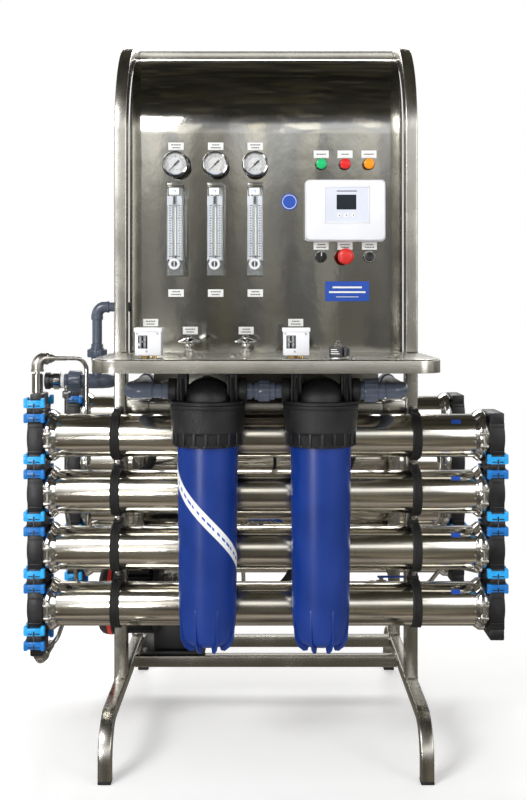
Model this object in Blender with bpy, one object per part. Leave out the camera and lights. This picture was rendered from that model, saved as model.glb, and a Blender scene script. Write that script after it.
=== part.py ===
"""Reverse osmosis unit on a stainless steel stand.

Metres, +Z up, the front faces -Y. The origin is on the floor, in the middle of the unit's box.
Depths below are measured backwards from the front face of the two front posts.
"""
import bpy
import bmesh
from math import cos, sin, pi, radians
from mathutils import Quaternion, Vector

# ---- driving dimensions ------------------------------------------------------------------
GAP = 0.0003                  # air left between touching pieces
POST_FACE_Y = -0.0975         # where the posts' front face lies in the unit's own frame

TUBE = 0.030                  # square tube of the stand
INNER_X = 0.345               # inner face of each side tube
TUBE_X = INNER_X + TUBE / 2   # middle of each side tube
BAR_HALF = INNER_X - GAP      # half length of every bar between the sides

FOOT_CAP = 0.008
FRONT_FOOT_D = -0.255
REAR_FOOT_D = 0.520
RAIL_Z = 0.130
RAIL_BEND = 0.085
RAIL_TOP = RAIL_Z + TUBE / 2

POST_DEPTH = 0.050            # the arched side tube, front to back
ARCH_D = 0.260                # centre of the arch
ARCH_Z = 1.500
ARCH_RADIUS = ARCH_D          # to the tube's outer face
ARCH_SWEEP = 100              # degrees
REAR_POST_D = 0.363
REAR_POST_DEPTH = 0.040
REAR_POST_TOP = 0.830
CROSSBAR_Z = 0.113            # middle of the two low crossbars

PANEL_D = 0.062               # the panel's front face
SHEET = 0.003
PANEL_BOTTOM = 0.920
PANEL_ARCH_D = 0.300
PANEL_SWEEP = 86

SHELF_TOP = 0.950
SHELF_HALF = 0.385
SHELF_FRONT_D = -0.340
SHELF_CORNER = 0.060
SHELF_LIP = 0.030

HOUSING_R = 0.052
HOUSING_WALL = 0.003
HOUSING_PITCH = 0.135
HOUSING_TOP_Z = 0.754
HOUSING_HALF = 0.5277
COLUMN_D = {"front": -0.062, "rear": 0.465}
ROWS = 4

MANIFOLD_IN = 0.528
MANIFOLD_OUT = 0.565
MANIFOLD_HALF_DEPTH = 0.054
MANIFOLD_LOW = 0.275
MANIFOLD_HIGH = 0.813
CLIP_OUT = 0.573
CLIP_HALF_HEIGHT = 0.0295
ADAPTER = 0.044               # end adapter above and below the left columns

FILTER_X = {"left": -0.133, "right": 0.125}
FILTER_D = -0.203
RIM_Z = 0.8435                # where lock ring and cap meet
FLANGE_TOP = RIM_Z + 0.008
DOME_R = 0.059
DOME_HEIGHT = 0.053
BOWL_R = 0.0695
BOWL_BOTTOM = 0.284
PORT_Z = 0.873
PORT_R = 0.0285
PORT_REACH = 0.089
PIPE_R = 0.017

GAUGE_X = (-0.227, -0.127, -0.027)
GAUGE_Z = 1.421
GAUGE_R = 0.033
METER_LOW = 1.142
METER_HIGH = 1.374
METER_SIDE = 0.040
BORE_R = 0.0075
BORE_FLOOR = METER_LOW + 0.026

CONTROLLER = {"x": (0.098, 0.300), "z": (1.228, 1.383), "depth": 0.035}
SELECTOR_X = 0.139
ESTOP_X = 0.1995
RESET_X = 0.261
SWITCH_ROW_Z = 1.190

PRESSURE_SWITCH_X = (-0.261, 0.067)
VALVE_X = (-0.183, -0.048)
VALVE_D = -0.100

# ---- scene and materials -----------------------------------------------------------------
for old in list(bpy.data.objects):
    bpy.data.objects.remove(old, do_unlink=True)

unit = bpy.data.objects.new("unit_origin", None)
unit.location = (0, POST_FACE_Y, 0)
bpy.context.scene.collection.objects.link(unit)


def material(name, colour, roughness, metallic=0.0, alpha=1.0):
    made = bpy.data.materials.new(name)
    made.use_nodes = True
    shader = made.node_tree.nodes["Principled BSDF"]
    shader.inputs["Base Color"].default_value = (*colour, 1)
    shader.inputs["Roughness"].default_value = roughness
    shader.inputs["Metallic"].default_value = metallic
    shader.inputs["Alpha"].default_value = alpha
    return made


STEEL = material("brushed_stainless", (0.42, 0.40, 0.36), 0.30, 1.0)
POLISHED = material("polished_stainless", (0.55, 0.53, 0.49), 0.15, 1.0)
CHROME = material("chrome", (0.70, 0.70, 0.70), 0.08, 1.0)
RUBBER = material("black_rubber", (0.015, 0.015, 0.015), 0.80)
BLACK = material("black_plastic", (0.02, 0.02, 0.022), 0.45)
BLUE = material("bowl_blue", (0.007, 0.035, 0.28), 0.35)
GREY_PIPE = material("grey_pipe", (0.09, 0.11, 0.15), 0.35)
WHITE = material("white_housing", (0.75, 0.77, 0.80), 0.40)
RED = material("stop_red", (0.60, 0.02, 0.02), 0.35)
CLEAR = material("clear_acrylic", (0.85, 0.90, 0.92), 0.05, 0.0, 0.35)
MOTOR = material("motor_black", (0.025, 0.025, 0.028), 0.50, 0.3)

TOWARDS_FRONT = (pi / 2, 0, 0)    # turns a piece's own +Z to the unit's front
ALONG_X = (0, pi / 2, 0)


# ---- modelling helpers -------------------------------------------------------------------
def finish_object(name, mesh_tool, surface, location=(0, 0, 0), rotation=(0, 0, 0), smooth=35):
    """Close a bmesh into a named object that hangs on the unit's origin."""
    bmesh.ops.recalc_face_normals(mesh_tool, faces=mesh_tool.faces)
    mesh = bpy.data.meshes.new(name)
    mesh_tool.to_mesh(mesh)
    mesh_tool.free()
    mesh.shade_smooth()
    mesh.set_sharp_from_angle(angle=radians(smooth))
    mesh.materials.append(surface)
    made = bpy.data.objects.new(name, mesh)
    bpy.context.scene.collection.objects.link(made)
    made.location = location
    made.rotation_euler = rotation
    made.parent = unit
    return made


def fuse(base, *others, operation="UNION"):
    """Join other solids to a base, or cut them from it, and keep them as hidden guides."""
    for other in others:
        modifier = base.modifiers.new(operation.lower(), "BOOLEAN")
        modifier.operation = operation
        modifier.object = other
        other.hide_render = True
        other.display_type = "WIRE"
    return base


def block(name, low, high, surface, bevel=0.0, location=(0, 0, 0), rotation=(0, 0, 0)):
    """A box between two corners, with chamfered edges."""
    tool = bmesh.new()
    bmesh.ops.create_cube(tool, size=1)
    for vertex in tool.verts:
        vertex.co = [low[i] + (vertex.co[i] + 0.5) * (high[i] - low[i]) for i in range(3)]
    if bevel:
        bmesh.ops.bevel(tool, geom=list(tool.edges), offset=bevel, segments=1, affect="EDGES")
    return finish_object(name, tool, surface, location, rotation)


def prism(name, outline, low, high, surface, location=(0, 0, 0), rotation=(0, 0, 0)):
    """A flat outline in XY, extruded from one height to another."""
    tool = bmesh.new()
    base = tool.faces.new([tool.verts.new((x, y, low)) for x, y in outline])
    raised = bmesh.ops.extrude_face_region(tool, geom=[base])
    moved = [item for item in raised["geom"] if isinstance(item, bmesh.types.BMVert)]
    bmesh.ops.translate(tool, verts=moved, vec=(0, 0, high - low))
    return finish_object(name, tool, surface, location, rotation)


def turned(name, profile, surface, location=(0, 0, 0), rotation=(0, 0, 0), sides=28):
    """A lathe shape: (radius, height) points, from the axis back to the axis or round a ring."""
    tool = bmesh.new()
    rings = []
    for radius, height in profile:
        if radius == 0:
            rings.append([tool.verts.new((0, 0, height))] * sides)
            continue
        angles = [2 * pi * i / sides for i in range(sides)]
        rings.append([tool.verts.new((radius * cos(a), radius * sin(a), height)) for a in angles])
    if profile[0][0] > 0:
        rings.append(rings[0])
    for lower, upper in zip(rings, rings[1:]):
        for i in range(sides):
            j = (i + 1) % sides
            corners = list(dict.fromkeys((lower[i], lower[j], upper[j], upper[i])))
            tool.faces.new(corners)
    return finish_object(name, tool, surface, location, rotation)


def bent_bar(name, route, width, depth, surface, x):
    """A flat-sided bar whose centre line lies in the plane of (depth, height) points."""
    tool = bmesh.new()
    rings = []
    last = len(route) - 1
    for i, point in enumerate(route):
        before = (Vector(point) - Vector(route[max(i - 1, 0)])).normalized()
        after = (Vector(route[min(i + 1, last)]) - Vector(point)).normalized()
        along = (before + after).normalized()
        turn = along.dot(after if i < last else before)
        side = Vector((-along.y, along.x)) * depth / 2 / turn
        ring = []
        for across, sign in ((-1, -1), (1, -1), (1, 1), (-1, 1)):
            spot = Vector(point) + side * sign
            ring.append(tool.verts.new((across * width / 2, spot.x, spot.y)))
        rings.append(ring)
    for lower, upper in zip(rings, rings[1:]):
        for i in range(4):
            j = (i + 1) % 4
            tool.faces.new((lower[i], lower[j], upper[j], upper[i]))
    tool.faces.new(rings[0])
    tool.faces.new(rings[-1])
    return finish_object(name, tool, surface, (x, 0, 0))


def arc(centre, radius, start, end, steps):
    """Points on an arc: 0 degrees points to the front, 90 degrees points up."""
    found = []
    for i in range(steps + 1):
        angle = radians(start + (end - start) * i / steps)
        found.append((centre[0] - radius * cos(angle), centre[1] + radius * sin(angle)))
    return found


def rounded_route(corners, bend, steps=5):
    """A pipe's centre line: straight runs joined by arcs of one bend radius."""
    points = [Vector(corners[0])]
    for before, corner, after in zip(corners, corners[1:], corners[2:]):
        corner = Vector(corner)
        back = (Vector(before) - corner).normalized()
        onward = (Vector(after) - corner).normalized()
        half_angle = back.angle(onward) / 2
        inward = (back + onward).normalized()
        centre = corner + inward * bend / sin(half_angle)
        reach = bend * cos(half_angle) / sin(half_angle)
        first = corner + back * reach - centre
        second = corner + onward * reach - centre
        for i in range(steps + 1):
            points.append(centre + first.slerp(second, i / steps).normalized() * bend)
    points.append(Vector(corners[-1]))
    return points


def pipe(name, corners, bend, radius, surface, collars=(), sides=16):
    """A round pipe along a route; collars are (start, end, radius) along its length."""
    points = rounded_route(corners, bend)
    lengths = [0.0]
    for a, b in zip(points, points[1:]):
        lengths.append(lengths[-1] + (b - a).length)
    edges = [value for collar in collars for value in collar[:2]]

    def radius_at(distance):
        for start, end, wide in collars:
            if start <= distance <= end:
                return wide
        return radius

    stations = []
    for distance in sorted(set(lengths) | {e for e in edges if 0 < e < lengths[-1]}):
        tiny = 1e-7
        around = (radius_at(distance - tiny), radius_at(distance + tiny))
        inside = 0 < distance < lengths[-1]
        sizes = around if inside and around[0] != around[1] else (radius_at(distance),)
        stations += [(distance, size) for size in sizes]
    tool = bmesh.new()
    rings = []
    forward = (points[1] - points[0]).normalized()
    up = forward.orthogonal().normalized()
    segment = 0
    for distance, size in stations:
        while segment < len(points) - 2 and distance > lengths[segment + 1] + 1e-9:
            segment += 1
        a, b = points[segment], points[segment + 1]
        share = (distance - lengths[segment]) / (lengths[segment + 1] - lengths[segment])
        ahead = (b - a).normalized()
        if share > 0.999 and segment < len(points) - 2:
            ahead = (ahead + (points[segment + 2] - b).normalized()).normalized()
        turn = forward.rotation_difference(ahead)
        up = (turn @ up).normalized()
        forward = ahead
        ring = []
        for i in range(sides):
            spin = Quaternion(forward, 2 * pi * i / sides)
            ring.append(tool.verts.new(a.lerp(b, share) + spin @ up * size))
        rings.append(ring)
    for lower, upper in zip(rings, rings[1:]):
        for i in range(sides):
            j = (i + 1) % sides
            tool.faces.new((lower[i], lower[j], upper[j], upper[i]))
    tool.faces.new(rings[0])
    tool.faces.new(rings[-1])
    return finish_object(name, tool, surface)


# ---- stand -------------------------------------------------------------------------------
def add_side(side, sign):
    """One side of the stand: arched post, base rail with its feet, rear post."""
    x = sign * TUBE_X
    half = POST_DEPTH / 2
    arch = arc((ARCH_D, ARCH_Z), ARCH_RADIUS - half, 0, ARCH_SWEEP, 14)
    post = [(half, RAIL_TOP + GAP)] + arch
    bent_bar(f"side_tube_{side}", post, TUBE, POST_DEPTH, STEEL, x)
    inset = FOOT_CAP + GAP
    bends = RAIL_BEND
    front = arc((FRONT_FOOT_D + bends, RAIL_Z - bends), bends, 0, 90, 6)
    rear = arc((REAR_FOOT_D - bends, RAIL_Z - bends), bends, 90, 180, 6)
    rail = [(FRONT_FOOT_D, inset)] + front + rear + [(REAR_FOOT_D, inset)]
    bent_bar(f"base_rail_{side}", rail, TUBE, TUBE, STEEL, x)
    rear_d = REAR_POST_D + REAR_POST_DEPTH / 2
    rear_post = [(rear_d, RAIL_TOP + GAP), (rear_d, REAR_POST_TOP)]
    bent_bar(f"rear_post_{side}", rear_post, TUBE, REAR_POST_DEPTH, STEEL, x)
    for end, depth in (("front", FRONT_FOOT_D), ("rear", REAR_FOOT_D)):
        size = TUBE / 2
        block(f"foot_cap_{end}_{side}", (-size, -size, 0), (size, size, FOOT_CAP), RUBBER, 0.002,
              (x, depth, 0))


def add_bar(name, depth, z, deep, high):
    block(name, (-BAR_HALF, depth - deep / 2, z), (BAR_HALF, depth + deep / 2, z + high), STEEL)


def add_panel():
    """The control panel: one sheet that rises from the shelf and arches back."""
    middle = PANEL_D + SHEET / 2
    arch = arc((PANEL_ARCH_D, ARCH_Z), PANEL_ARCH_D - middle, 0, PANEL_SWEEP, 14)
    bent_bar("control_panel", [(middle, PANEL_BOTTOM)] + arch, 2 * BAR_HALF, SHEET, POLISHED, 0)


def shelf_outline(inset):
    """Half-round front corners, and a narrower tongue that reaches between the posts."""
    half = SHELF_HALF - inset
    front = SHELF_FRONT_D + inset
    corner = SHELF_CORNER - inset
    outline = []
    for i in range(9):
        angle = radians(90 * i / 8)
        outline.append((corner * sin(angle) + half - corner, front + corner * (1 - cos(angle))))
    outline += [(half, -GAP - inset), (BAR_HALF - inset, -GAP - inset)]
    outline += [(BAR_HALF - inset, PANEL_D - GAP - inset)]
    return outline + [(-x, y) for x, y in reversed(outline)]


def add_shelf():
    """The shelf: a sheet with its edge folded down."""
    shelf = prism("shelf", shelf_outline(0), SHELF_TOP - SHELF_LIP, SHELF_TOP, STEEL)
    hollow = prism("shelf_hollow", shelf_outline(SHEET), SHELF_TOP - SHELF_LIP - SHEET,
                   SHELF_TOP - SHEET, STEEL)
    fuse(shelf, hollow, operation="DIFFERENCE")


# ---- membranes ---------------------------------------------------------------------------
def add_housings():
    """Eight tubes that hold the membranes, open at both ends."""
    inner = HOUSING_R - HOUSING_WALL
    wall = [(HOUSING_R, -HOUSING_HALF), (HOUSING_R, HOUSING_HALF),
            (inner, HOUSING_HALF), (inner, -HOUSING_HALF)]
    for column, depth in COLUMN_D.items():
        for row in range(ROWS):
            place = (0, depth, HOUSING_TOP_Z - row * HOUSING_PITCH)
            turned(f"membrane_housing_{column}_{row + 1}", wall, POLISHED, place, ALONG_X)


def manifold_outline(low, high, clips):
    """The column's side view, from its lower inner corner, with a lug at each clip."""
    outline = [(MANIFOLD_IN, low), (MANIFOLD_OUT, low)]
    for z in clips:
        foot, head = z - CLIP_HALF_HEIGHT, z + CLIP_HALF_HEIGHT
        outline += [(MANIFOLD_OUT, foot), (CLIP_OUT, foot), (CLIP_OUT, head), (MANIFOLD_OUT, head)]
    return outline + [(MANIFOLD_OUT, high), (MANIFOLD_IN, high)]


def add_manifolds():
    """Four columns of end blocks; the left ones carry pipe adapters at both ends."""
    joints = [HOUSING_TOP_Z - (row + 0.5) * HOUSING_PITCH for row in range(ROWS - 1)]
    for column, depth in COLUMN_D.items():
        for side, sign in (("left", -1), ("right", 1)):
            extra = ADAPTER if side == "left" else 0
            clips = sorted(joints)
            if extra:
                clips = [MANIFOLD_LOW + 0.006] + clips + [MANIFOLD_HIGH + 0.006]
            outline = manifold_outline(MANIFOLD_LOW - extra, MANIFOLD_HIGH + extra, clips)
            outline = [(sign * x, z) for x, z in outline]
            half = MANIFOLD_HALF_DEPTH
            prism(f"manifold_{column}_{side}", outline, -half, half, BLACK, (0, depth, 0),
                  TOWARDS_FRONT)


# ---- filters -----------------------------------------------------------------------------
def add_filter(side, x):
    """One pre-filter: cap with its ports and columns, lock ring, and a hollow bowl."""
    centre = (x, FILTER_D, 0)
    dome = [(DOME_R * cos(radians(a)), FLANGE_TOP + DOME_HEIGHT * sin(radians(a)))
            for a in range(0, 90, 15)]
    cap = turned(f"filter_cap_{side}", [
        (0, 0.886), (0.030, 0.880), (0.045, 0.862), (0.047, RIM_Z), (0.071, RIM_Z), (0.071, 0.800),
        (0.076, 0.800), (0.076, RIM_Z + GAP), (0.0845, RIM_Z + GAP), (0.0845, FLANGE_TOP)]
        + dome + [(0, FLANGE_TOP + DOME_HEIGHT)], BLACK, centre)
    for sign, end in ((-1, "left"), (1, "right")):
        inner_end = 0.050
        port = turned(f"guide_port_{side}_{end}", [
            (0, inner_end), (PORT_R, inner_end), (PORT_R, PORT_REACH), (0, PORT_REACH)], BLACK,
            (x, FILTER_D, PORT_Z), (0, sign * pi / 2, 0), 20)
        column = block(f"guide_column_{side}_{end}", (sign * 0.0565 - 0.0115, -0.030, RIM_Z + 0.004),
                       (sign * 0.0565 + 0.0115, 0.030, SHELF_TOP - SHEET - GAP), BLACK, 0,
                       centre)
        fuse(cap, column, port)
    turned(f"lock_ring_{side}", [
        (0.0715, 0.749), (0.080, 0.749), (0.081, 0.775), (0.083, 0.779), (0.086, RIM_Z),
        (0.077, RIM_Z), (0.077, 0.758), (0.0715, 0.756)], BLACK, centre)
    wall = 0.0055
    bottom = [(0.058 * sin(radians(a)), BOWL_BOTTOM + 0.022 * (1 - cos(radians(a))))
              for a in range(30, 91, 30)]
    turned(f"filter_bowl_{side}", [(0, BOWL_BOTTOM)] + bottom + [
        (0.066, BOWL_BOTTOM + 0.060), (BOWL_R, 0.7585), (0.0755, 0.7585), (0.0755, 0.768),
        (BOWL_R, 0.768), (BOWL_R, 0.843), (BOWL_R - wall, 0.843),
        (0.066 - wall, BOWL_BOTTOM + 0.060), (0.050, BOWL_BOTTOM + 0.022),
        (0, BOWL_BOTTOM + 0.010)], BLUE, centre)


# ---- pipes -------------------------------------------------------------------------------
def add_pipes():
    """The grey plastic pipes and the stainless feed to the first manifold."""
    left_port = FILTER_X["left"] - PORT_REACH - GAP
    right_port = FILTER_X["right"] + PORT_REACH + GAP
    back = 0.150
    pipe("filter_inlet_pipe", [(left_port, FILTER_D, PORT_Z), (-0.308, FILTER_D, PORT_Z),
                               (-0.308, back, PORT_Z)], 0.026, PIPE_R, GREY_PIPE,
         [(0, 0.012, 0.020), (0.038, 0.110, 0.0195), (0.390, 0.420, 0.0195)])
    pipe("filter_outlet_pipe", [(right_port, FILTER_D, PORT_Z), (0.311, FILTER_D, PORT_Z),
                                (0.311, back, PORT_Z)], 0.026, PIPE_R, GREY_PIPE,
         [(0, 0.009, 0.021), (0.009, 0.040, 0.027), (0.040, 0.056, 0.020),
          (0.060, 0.130, 0.0185), (0.390, 0.420, 0.0195)])
    link_start = FILTER_X["left"] + PORT_REACH + GAP
    link_end = FILTER_X["right"] - PORT_REACH - GAP
    pipe("filter_link_pipe", [(link_start, FILTER_D, PORT_Z), (link_end, FILTER_D, PORT_Z)],
         0, PIPE_R, GREY_PIPE, [(0, 0.012, 0.020), (0.018, 0.027, 0.021), (0.027, 0.053, 0.025),
                                (0.053, 0.064, 0.021)])
    run_d, run_z = 0.080, 0.876
    run = pipe("feed_pipe", [(-0.560, run_d, run_z), (-0.401, run_d, run_z),
                             (-0.401, 0.340, run_z)], 0.028, PIPE_R, GREY_PIPE,
               [(0, 0.022, 0.019), (0.022, 0.034, 0.022), (0.060, 0.092, 0.0265),
                (0.104, 0.200, 0.0195), (0.380, 0.403, 0.0195)])
    riser = pipe("guide_riser", [(-0.429, run_d, run_z), (-0.429, run_d, 1.064),
                                 (-0.240, run_d, 1.064)], 0.022, 0.0125, GREY_PIPE,
                 [(0.060, 0.085, 0.019), (0.155, 0.215, 0.0145), (0.330, 0.355, 0.0142)])
    fuse(run, riser)
    column = COLUMN_D["front"]
    pipe("manifold_feed_pipe", [
        (-0.551, column, MANIFOLD_HIGH + ADAPTER + GAP), (-0.551, column, 0.940),
        (-0.444, 0.006, 0.937), (-0.444, 0.006, 0.600)], 0.018, 0.0055, STEEL,
        [(0, 0.050, 0.0135), (0.050, 0.096, 0.0158), (0.096, 0.110, 0.012)])


# ---- instruments and controls ------------------------------------------------------------
def add_gauge(index, x):
    """A pressure gauge: a cup with the dial at its bottom, and the needle inside it."""
    place = (x, PANEL_D - GAP, GAUGE_Z)
    turned(f"gauge_case_{index}", [
        (0, 0), (0.029, 0), (0.029, 0.018), (GAUGE_R, 0.020), (GAUGE_R, 0.028), (0.030, 0.031),
        (0.028, 0.029), (0.028, 0.020), (0, 0.020)], CHROME, place, TOWARDS_FRONT, 24)
    hub = 0.0026
    outline = [(-0.0008, 0.023), (-hub, 0.002), (-hub, -0.002), (-0.0014, -0.009),
               (0.0014, -0.009), (hub, -0.002), (hub, 0.002), (0.0008, 0.023)]
    turn = radians(135)
    rest = [(x * cos(turn) - z * sin(turn), x * sin(turn) + z * cos(turn)) for x, z in outline]
    prism(f"gauge_needle_{index}", rest, 0.0225, 0.0235, BLACK, place, TOWARDS_FRONT)


def add_flow_meter(index, x):
    """A flow meter: a clear block with an upright bore and the float inside it."""
    half = METER_SIDE / 2
    middle = PANEL_D - GAP - half
    body = block(f"flow_meter_{index}", (-half, -half, METER_LOW), (half, half, METER_HIGH), CLEAR,
                 0.002, (x, middle, 0))
    bore = turned(f"guide_bore_{index}", [
        (0, BORE_FLOOR), (BORE_R, BORE_FLOOR), (BORE_R, METER_HIGH + 0.01),
        (0, METER_HIGH + 0.01)], CLEAR, (x, middle, 0), (0, 0, 0), 20)
    fuse(body, bore, operation="DIFFERENCE")
    low = BORE_FLOOR + GAP
    turned(f"flow_float_{index}", [
        (0, low), (0.003, low), (0.0066, low + 0.010), (0.0066, low + 0.014), (0.003, low + 0.016),
        (0.003, low + 0.024), (0, low + 0.024)], STEEL, (x, middle, 0), (0, 0, 0), 16)


def add_controls():
    """The controller, and the three controls below it."""
    depth = CONTROLLER["depth"]
    low = (CONTROLLER["x"][0], PANEL_D - GAP - depth, CONTROLLER["z"][0])
    high = (CONTROLLER["x"][1], PANEL_D - GAP, CONTROLLER["z"][1])
    block("controller_case", low, high, WHITE, 0.008)
    clear = 0.0065                      # room for the stop button's stroke
    turned("estop_head", [
        (0, clear), (0.008, clear), (0.008, 0.020), (0.018, 0.022), (0.0205, 0.027),
        (0.0195, 0.033), (0.013, 0.037), (0, 0.0385)], RED, (ESTOP_X, PANEL_D, SWITCH_ROW_Z),
        TOWARDS_FRONT, 24)
    knob = turned("selector_knob", [(0, GAP), (0.0135, GAP), (0.0135, 0.012), (0, 0.012)], BLACK,
                  (SELECTOR_X, PANEL_D, SWITCH_ROW_Z), TOWARDS_FRONT, 24)
    grip = block("guide_grip", (-0.004, -0.0125, 0.008), (0.004, 0.0125, 0.024), BLACK, 0.001,
                 (SELECTOR_X, PANEL_D, SWITCH_ROW_Z), TOWARDS_FRONT)
    fuse(knob, grip)
    turned("reset_button", [
        (0, 0.0045), (0.011, 0.0045), (0.011, 0.015), (0.0095, 0.0165), (0, 0.0165)], BLACK,
        (RESET_X, PANEL_D, SWITCH_ROW_Z), TOWARDS_FRONT, 24)


def add_shelf_items():
    """The pressure switches and the two hand valves on the shelf."""
    for name, x in zip(("left", "right"), PRESSURE_SWITCH_X):
        low, high = (-0.029, -0.285, 0.956), (0.029, -0.235, 1.010)
        case = block(f"pressure_switch_{name}", low, high, WHITE, 0.0015, (x, 0, 0))
        lid = block(f"guide_lid_{name}", (-0.031, -0.287, 1.008), (0.031, -0.233, 1.018), WHITE,
                    0.0015, (x, 0, 0))
        foot = turned(f"guide_fitting_{name}", [
            (0, SHELF_TOP + GAP), (0.009, SHELF_TOP + GAP), (0.009, 0.960), (0, 0.960)], WHITE,
            (x - 0.008, -0.262, 0), (0, 0, 0), 12)
        fuse(case, lid, foot)
    for name, x in zip(("left", "right"), VALVE_X):
        turned(f"valve_handle_{name}", [
            (0, SHELF_TOP + GAP), (0.005, SHELF_TOP + GAP), (0.005, 0.974), (0.011, 0.978),
            (0.026, 0.980), (0.028, 0.9815), (0.026, 0.983), (0.010, 0.984), (0.009, 0.990),
            (0.005, 0.995), (0, 0.996)], STEEL, (x, VALVE_D, 0), (0, 0, 0), 24)


def add_pump():
    """A motor and its pump stages on one axis, with terminal box and base plate."""
    depth, z = 0.255, 0.277
    body = turned("pump", [
        (0, -0.447), (0.075, -0.447), (0.095, -0.430), (0.095, -0.415), (0.084, -0.412),
        (0.084, -0.300), (0.095, -0.297), (0.095, -0.283), (0.072, -0.275), (0.072, -0.160),
        (0.080, -0.155), (0.080, -0.140), (0, -0.140)], MOTOR, (0, depth, z), ALONG_X)
    box = block("guide_terminal_box", (-0.400, -0.050, 0.070), (-0.310, 0.050, 0.130), MOTOR, 0.004,
                (0, depth, z))
    base = RAIL_TOP - z
    foot = block("guide_pump_foot", (-0.335, -0.066, base), (-0.160, 0.120, base + 0.008), MOTOR, 0,
                 (0, depth, z))
    stand = block("guide_pump_stand", (-0.300, -0.055, base + 0.004), (-0.190, 0.055, -0.050), MOTOR,
                  0, (0, depth, z))
    fuse(body, box, stand, foot)


for side_name, side_sign in (("left", -1), ("right", 1)):
    add_side(side_name, side_sign)
add_bar("low_crossbar_front", 0.200, CROSSBAR_Z, TUBE, TUBE)
add_bar("low_crossbar_rear", 0.370, CROSSBAR_Z, TUBE, TUBE)
add_bar("mid_crossbar", 0.025, 0.797, TUBE, TUBE)
add_bar("top_crossbar", PANEL_ARCH_D, 1.739, 0.040, 0.021)
add_panel()
add_shelf()
add_housings()
add_manifolds()
for filter_side, filter_x in FILTER_X.items():
    add_filter(filter_side, filter_x)
add_pipes()
for number, gauge_x in enumerate(GAUGE_X, 1):
    add_gauge(number, gauge_x)
    add_flow_meter(number, gauge_x)
add_controls()
add_shelf_items()
add_pump()
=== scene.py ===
"""Looks of the reverse osmosis unit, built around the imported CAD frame. Metres, the front faces -Y."""
from math import cos, sin, pi, radians

import bmesh
import bpy
from mathutils import Matrix, Vector


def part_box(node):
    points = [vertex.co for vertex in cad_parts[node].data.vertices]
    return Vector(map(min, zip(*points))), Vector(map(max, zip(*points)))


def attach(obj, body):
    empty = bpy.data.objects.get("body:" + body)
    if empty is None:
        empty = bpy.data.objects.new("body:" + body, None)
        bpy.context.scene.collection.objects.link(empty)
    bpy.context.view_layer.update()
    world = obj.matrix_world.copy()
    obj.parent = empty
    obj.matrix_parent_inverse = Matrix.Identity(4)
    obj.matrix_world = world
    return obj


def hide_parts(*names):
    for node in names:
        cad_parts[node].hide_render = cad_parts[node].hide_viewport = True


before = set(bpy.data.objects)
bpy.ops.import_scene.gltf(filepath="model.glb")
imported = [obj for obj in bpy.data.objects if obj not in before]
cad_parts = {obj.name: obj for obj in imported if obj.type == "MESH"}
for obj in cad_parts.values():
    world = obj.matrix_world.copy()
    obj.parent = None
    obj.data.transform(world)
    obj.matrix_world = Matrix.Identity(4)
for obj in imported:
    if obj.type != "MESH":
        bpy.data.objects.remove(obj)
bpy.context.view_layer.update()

STAND = "stand"
POST_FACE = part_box("side_tube_left")[0].y      # front face of the two front posts


def at(x, depth, z):
    """A place given by its depth behind the front posts' face."""
    return Vector((x, POST_FACE + depth, z))


def middle(node):
    low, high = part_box(node)
    return (low + high) / 2


# ---- materials ---------------------------------------------------------------------------
def node(tree, kind, inputs, **settings):
    """Adds a shader node. An input given as another node's output is linked to it."""
    made = tree.nodes.new("ShaderNode" + kind)
    for name, value in settings.items():
        setattr(made, name, value)
    for key, value in inputs.items():
        if isinstance(value, bpy.types.NodeSocket):
            tree.links.new(value, made.inputs[key])
        else:
            made.inputs[key].default_value = value
    return made


def ramp(tree, factor, stops, interpolation="LINEAR"):
    """A colour ramp with (position, colour) stops; returns its colour."""
    made = node(tree, "ValToRGB", {"Fac": factor})
    made.color_ramp.interpolation = interpolation
    elements = made.color_ramp.elements
    while len(elements) < len(stops):
        elements.new(0.5)
    for element, (spot, colour) in zip(elements, stops):
        element.position = spot
        element.color = (*colour, 1)
    return made.outputs["Color"]


def surface(name, colour, rough, metal=0.0, stretch=(1, 1, 1), grain=300, bump=0.15, spread=0.06,
            tone=0.10, patch=12, bump_depth=0.0004):
    """A material whose tone, roughness and relief come from stretched noise in the piece's space."""
    made = bpy.data.materials.new(name)
    made.use_nodes = True
    tree = made.node_tree
    place = node(tree, "TexCoord", {}).outputs["Object"]
    stretched = node(tree, "Mapping", {"Vector": place, "Scale": stretch}).outputs["Vector"]
    fine = node(tree, "TexNoise", {"Vector": stretched, "Scale": grain, "Detail": 5}).outputs["Fac"]
    wide = node(tree, "TexNoise", {"Vector": place, "Scale": patch, "Detail": 4}).outputs["Fac"]
    dark, light = [c * (1 - tone) for c in colour], [min(1, c * (1 + tone)) for c in colour]
    both = node(tree, "Math", {0: fine, 1: 0.5, 2: wide}, operation="MULTIPLY_ADD").outputs[0]
    roughness = node(tree, "MapRange", {"Value": both, "From Min": 0.45, "From Max": 1.05,
                                        "To Min": max(0.02, rough - spread), "To Max": rough + spread})
    relief = node(tree, "Bump", {"Height": fine, "Strength": bump, "Distance": bump_depth})
    shader = tree.nodes["Principled BSDF"]
    shader.inputs["Metallic"].default_value = metal
    shader.inputs["Coat Roughness"].default_value = 0.08
    tree.links.new(ramp(tree, wide, ((0.30, dark), (0.72, light))), shader.inputs["Base Color"])
    tree.links.new(roughness.outputs["Result"], shader.inputs["Roughness"])
    tree.links.new(relief.outputs["Normal"], shader.inputs["Normal"])
    return made


def see_through(name, colour, rough, ior, tint=0.0):
    """Clear moulded plastic or glass, slightly clouded by fine noise in its roughness."""
    made = surface(name, colour, rough, tone=0.03, bump=0.04, spread=0.02)
    shader = made.node_tree.nodes["Principled BSDF"]
    shader.inputs["Transmission Weight"].default_value = 1.0 - tint
    shader.inputs["IOR"].default_value = ior
    return made


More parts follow.
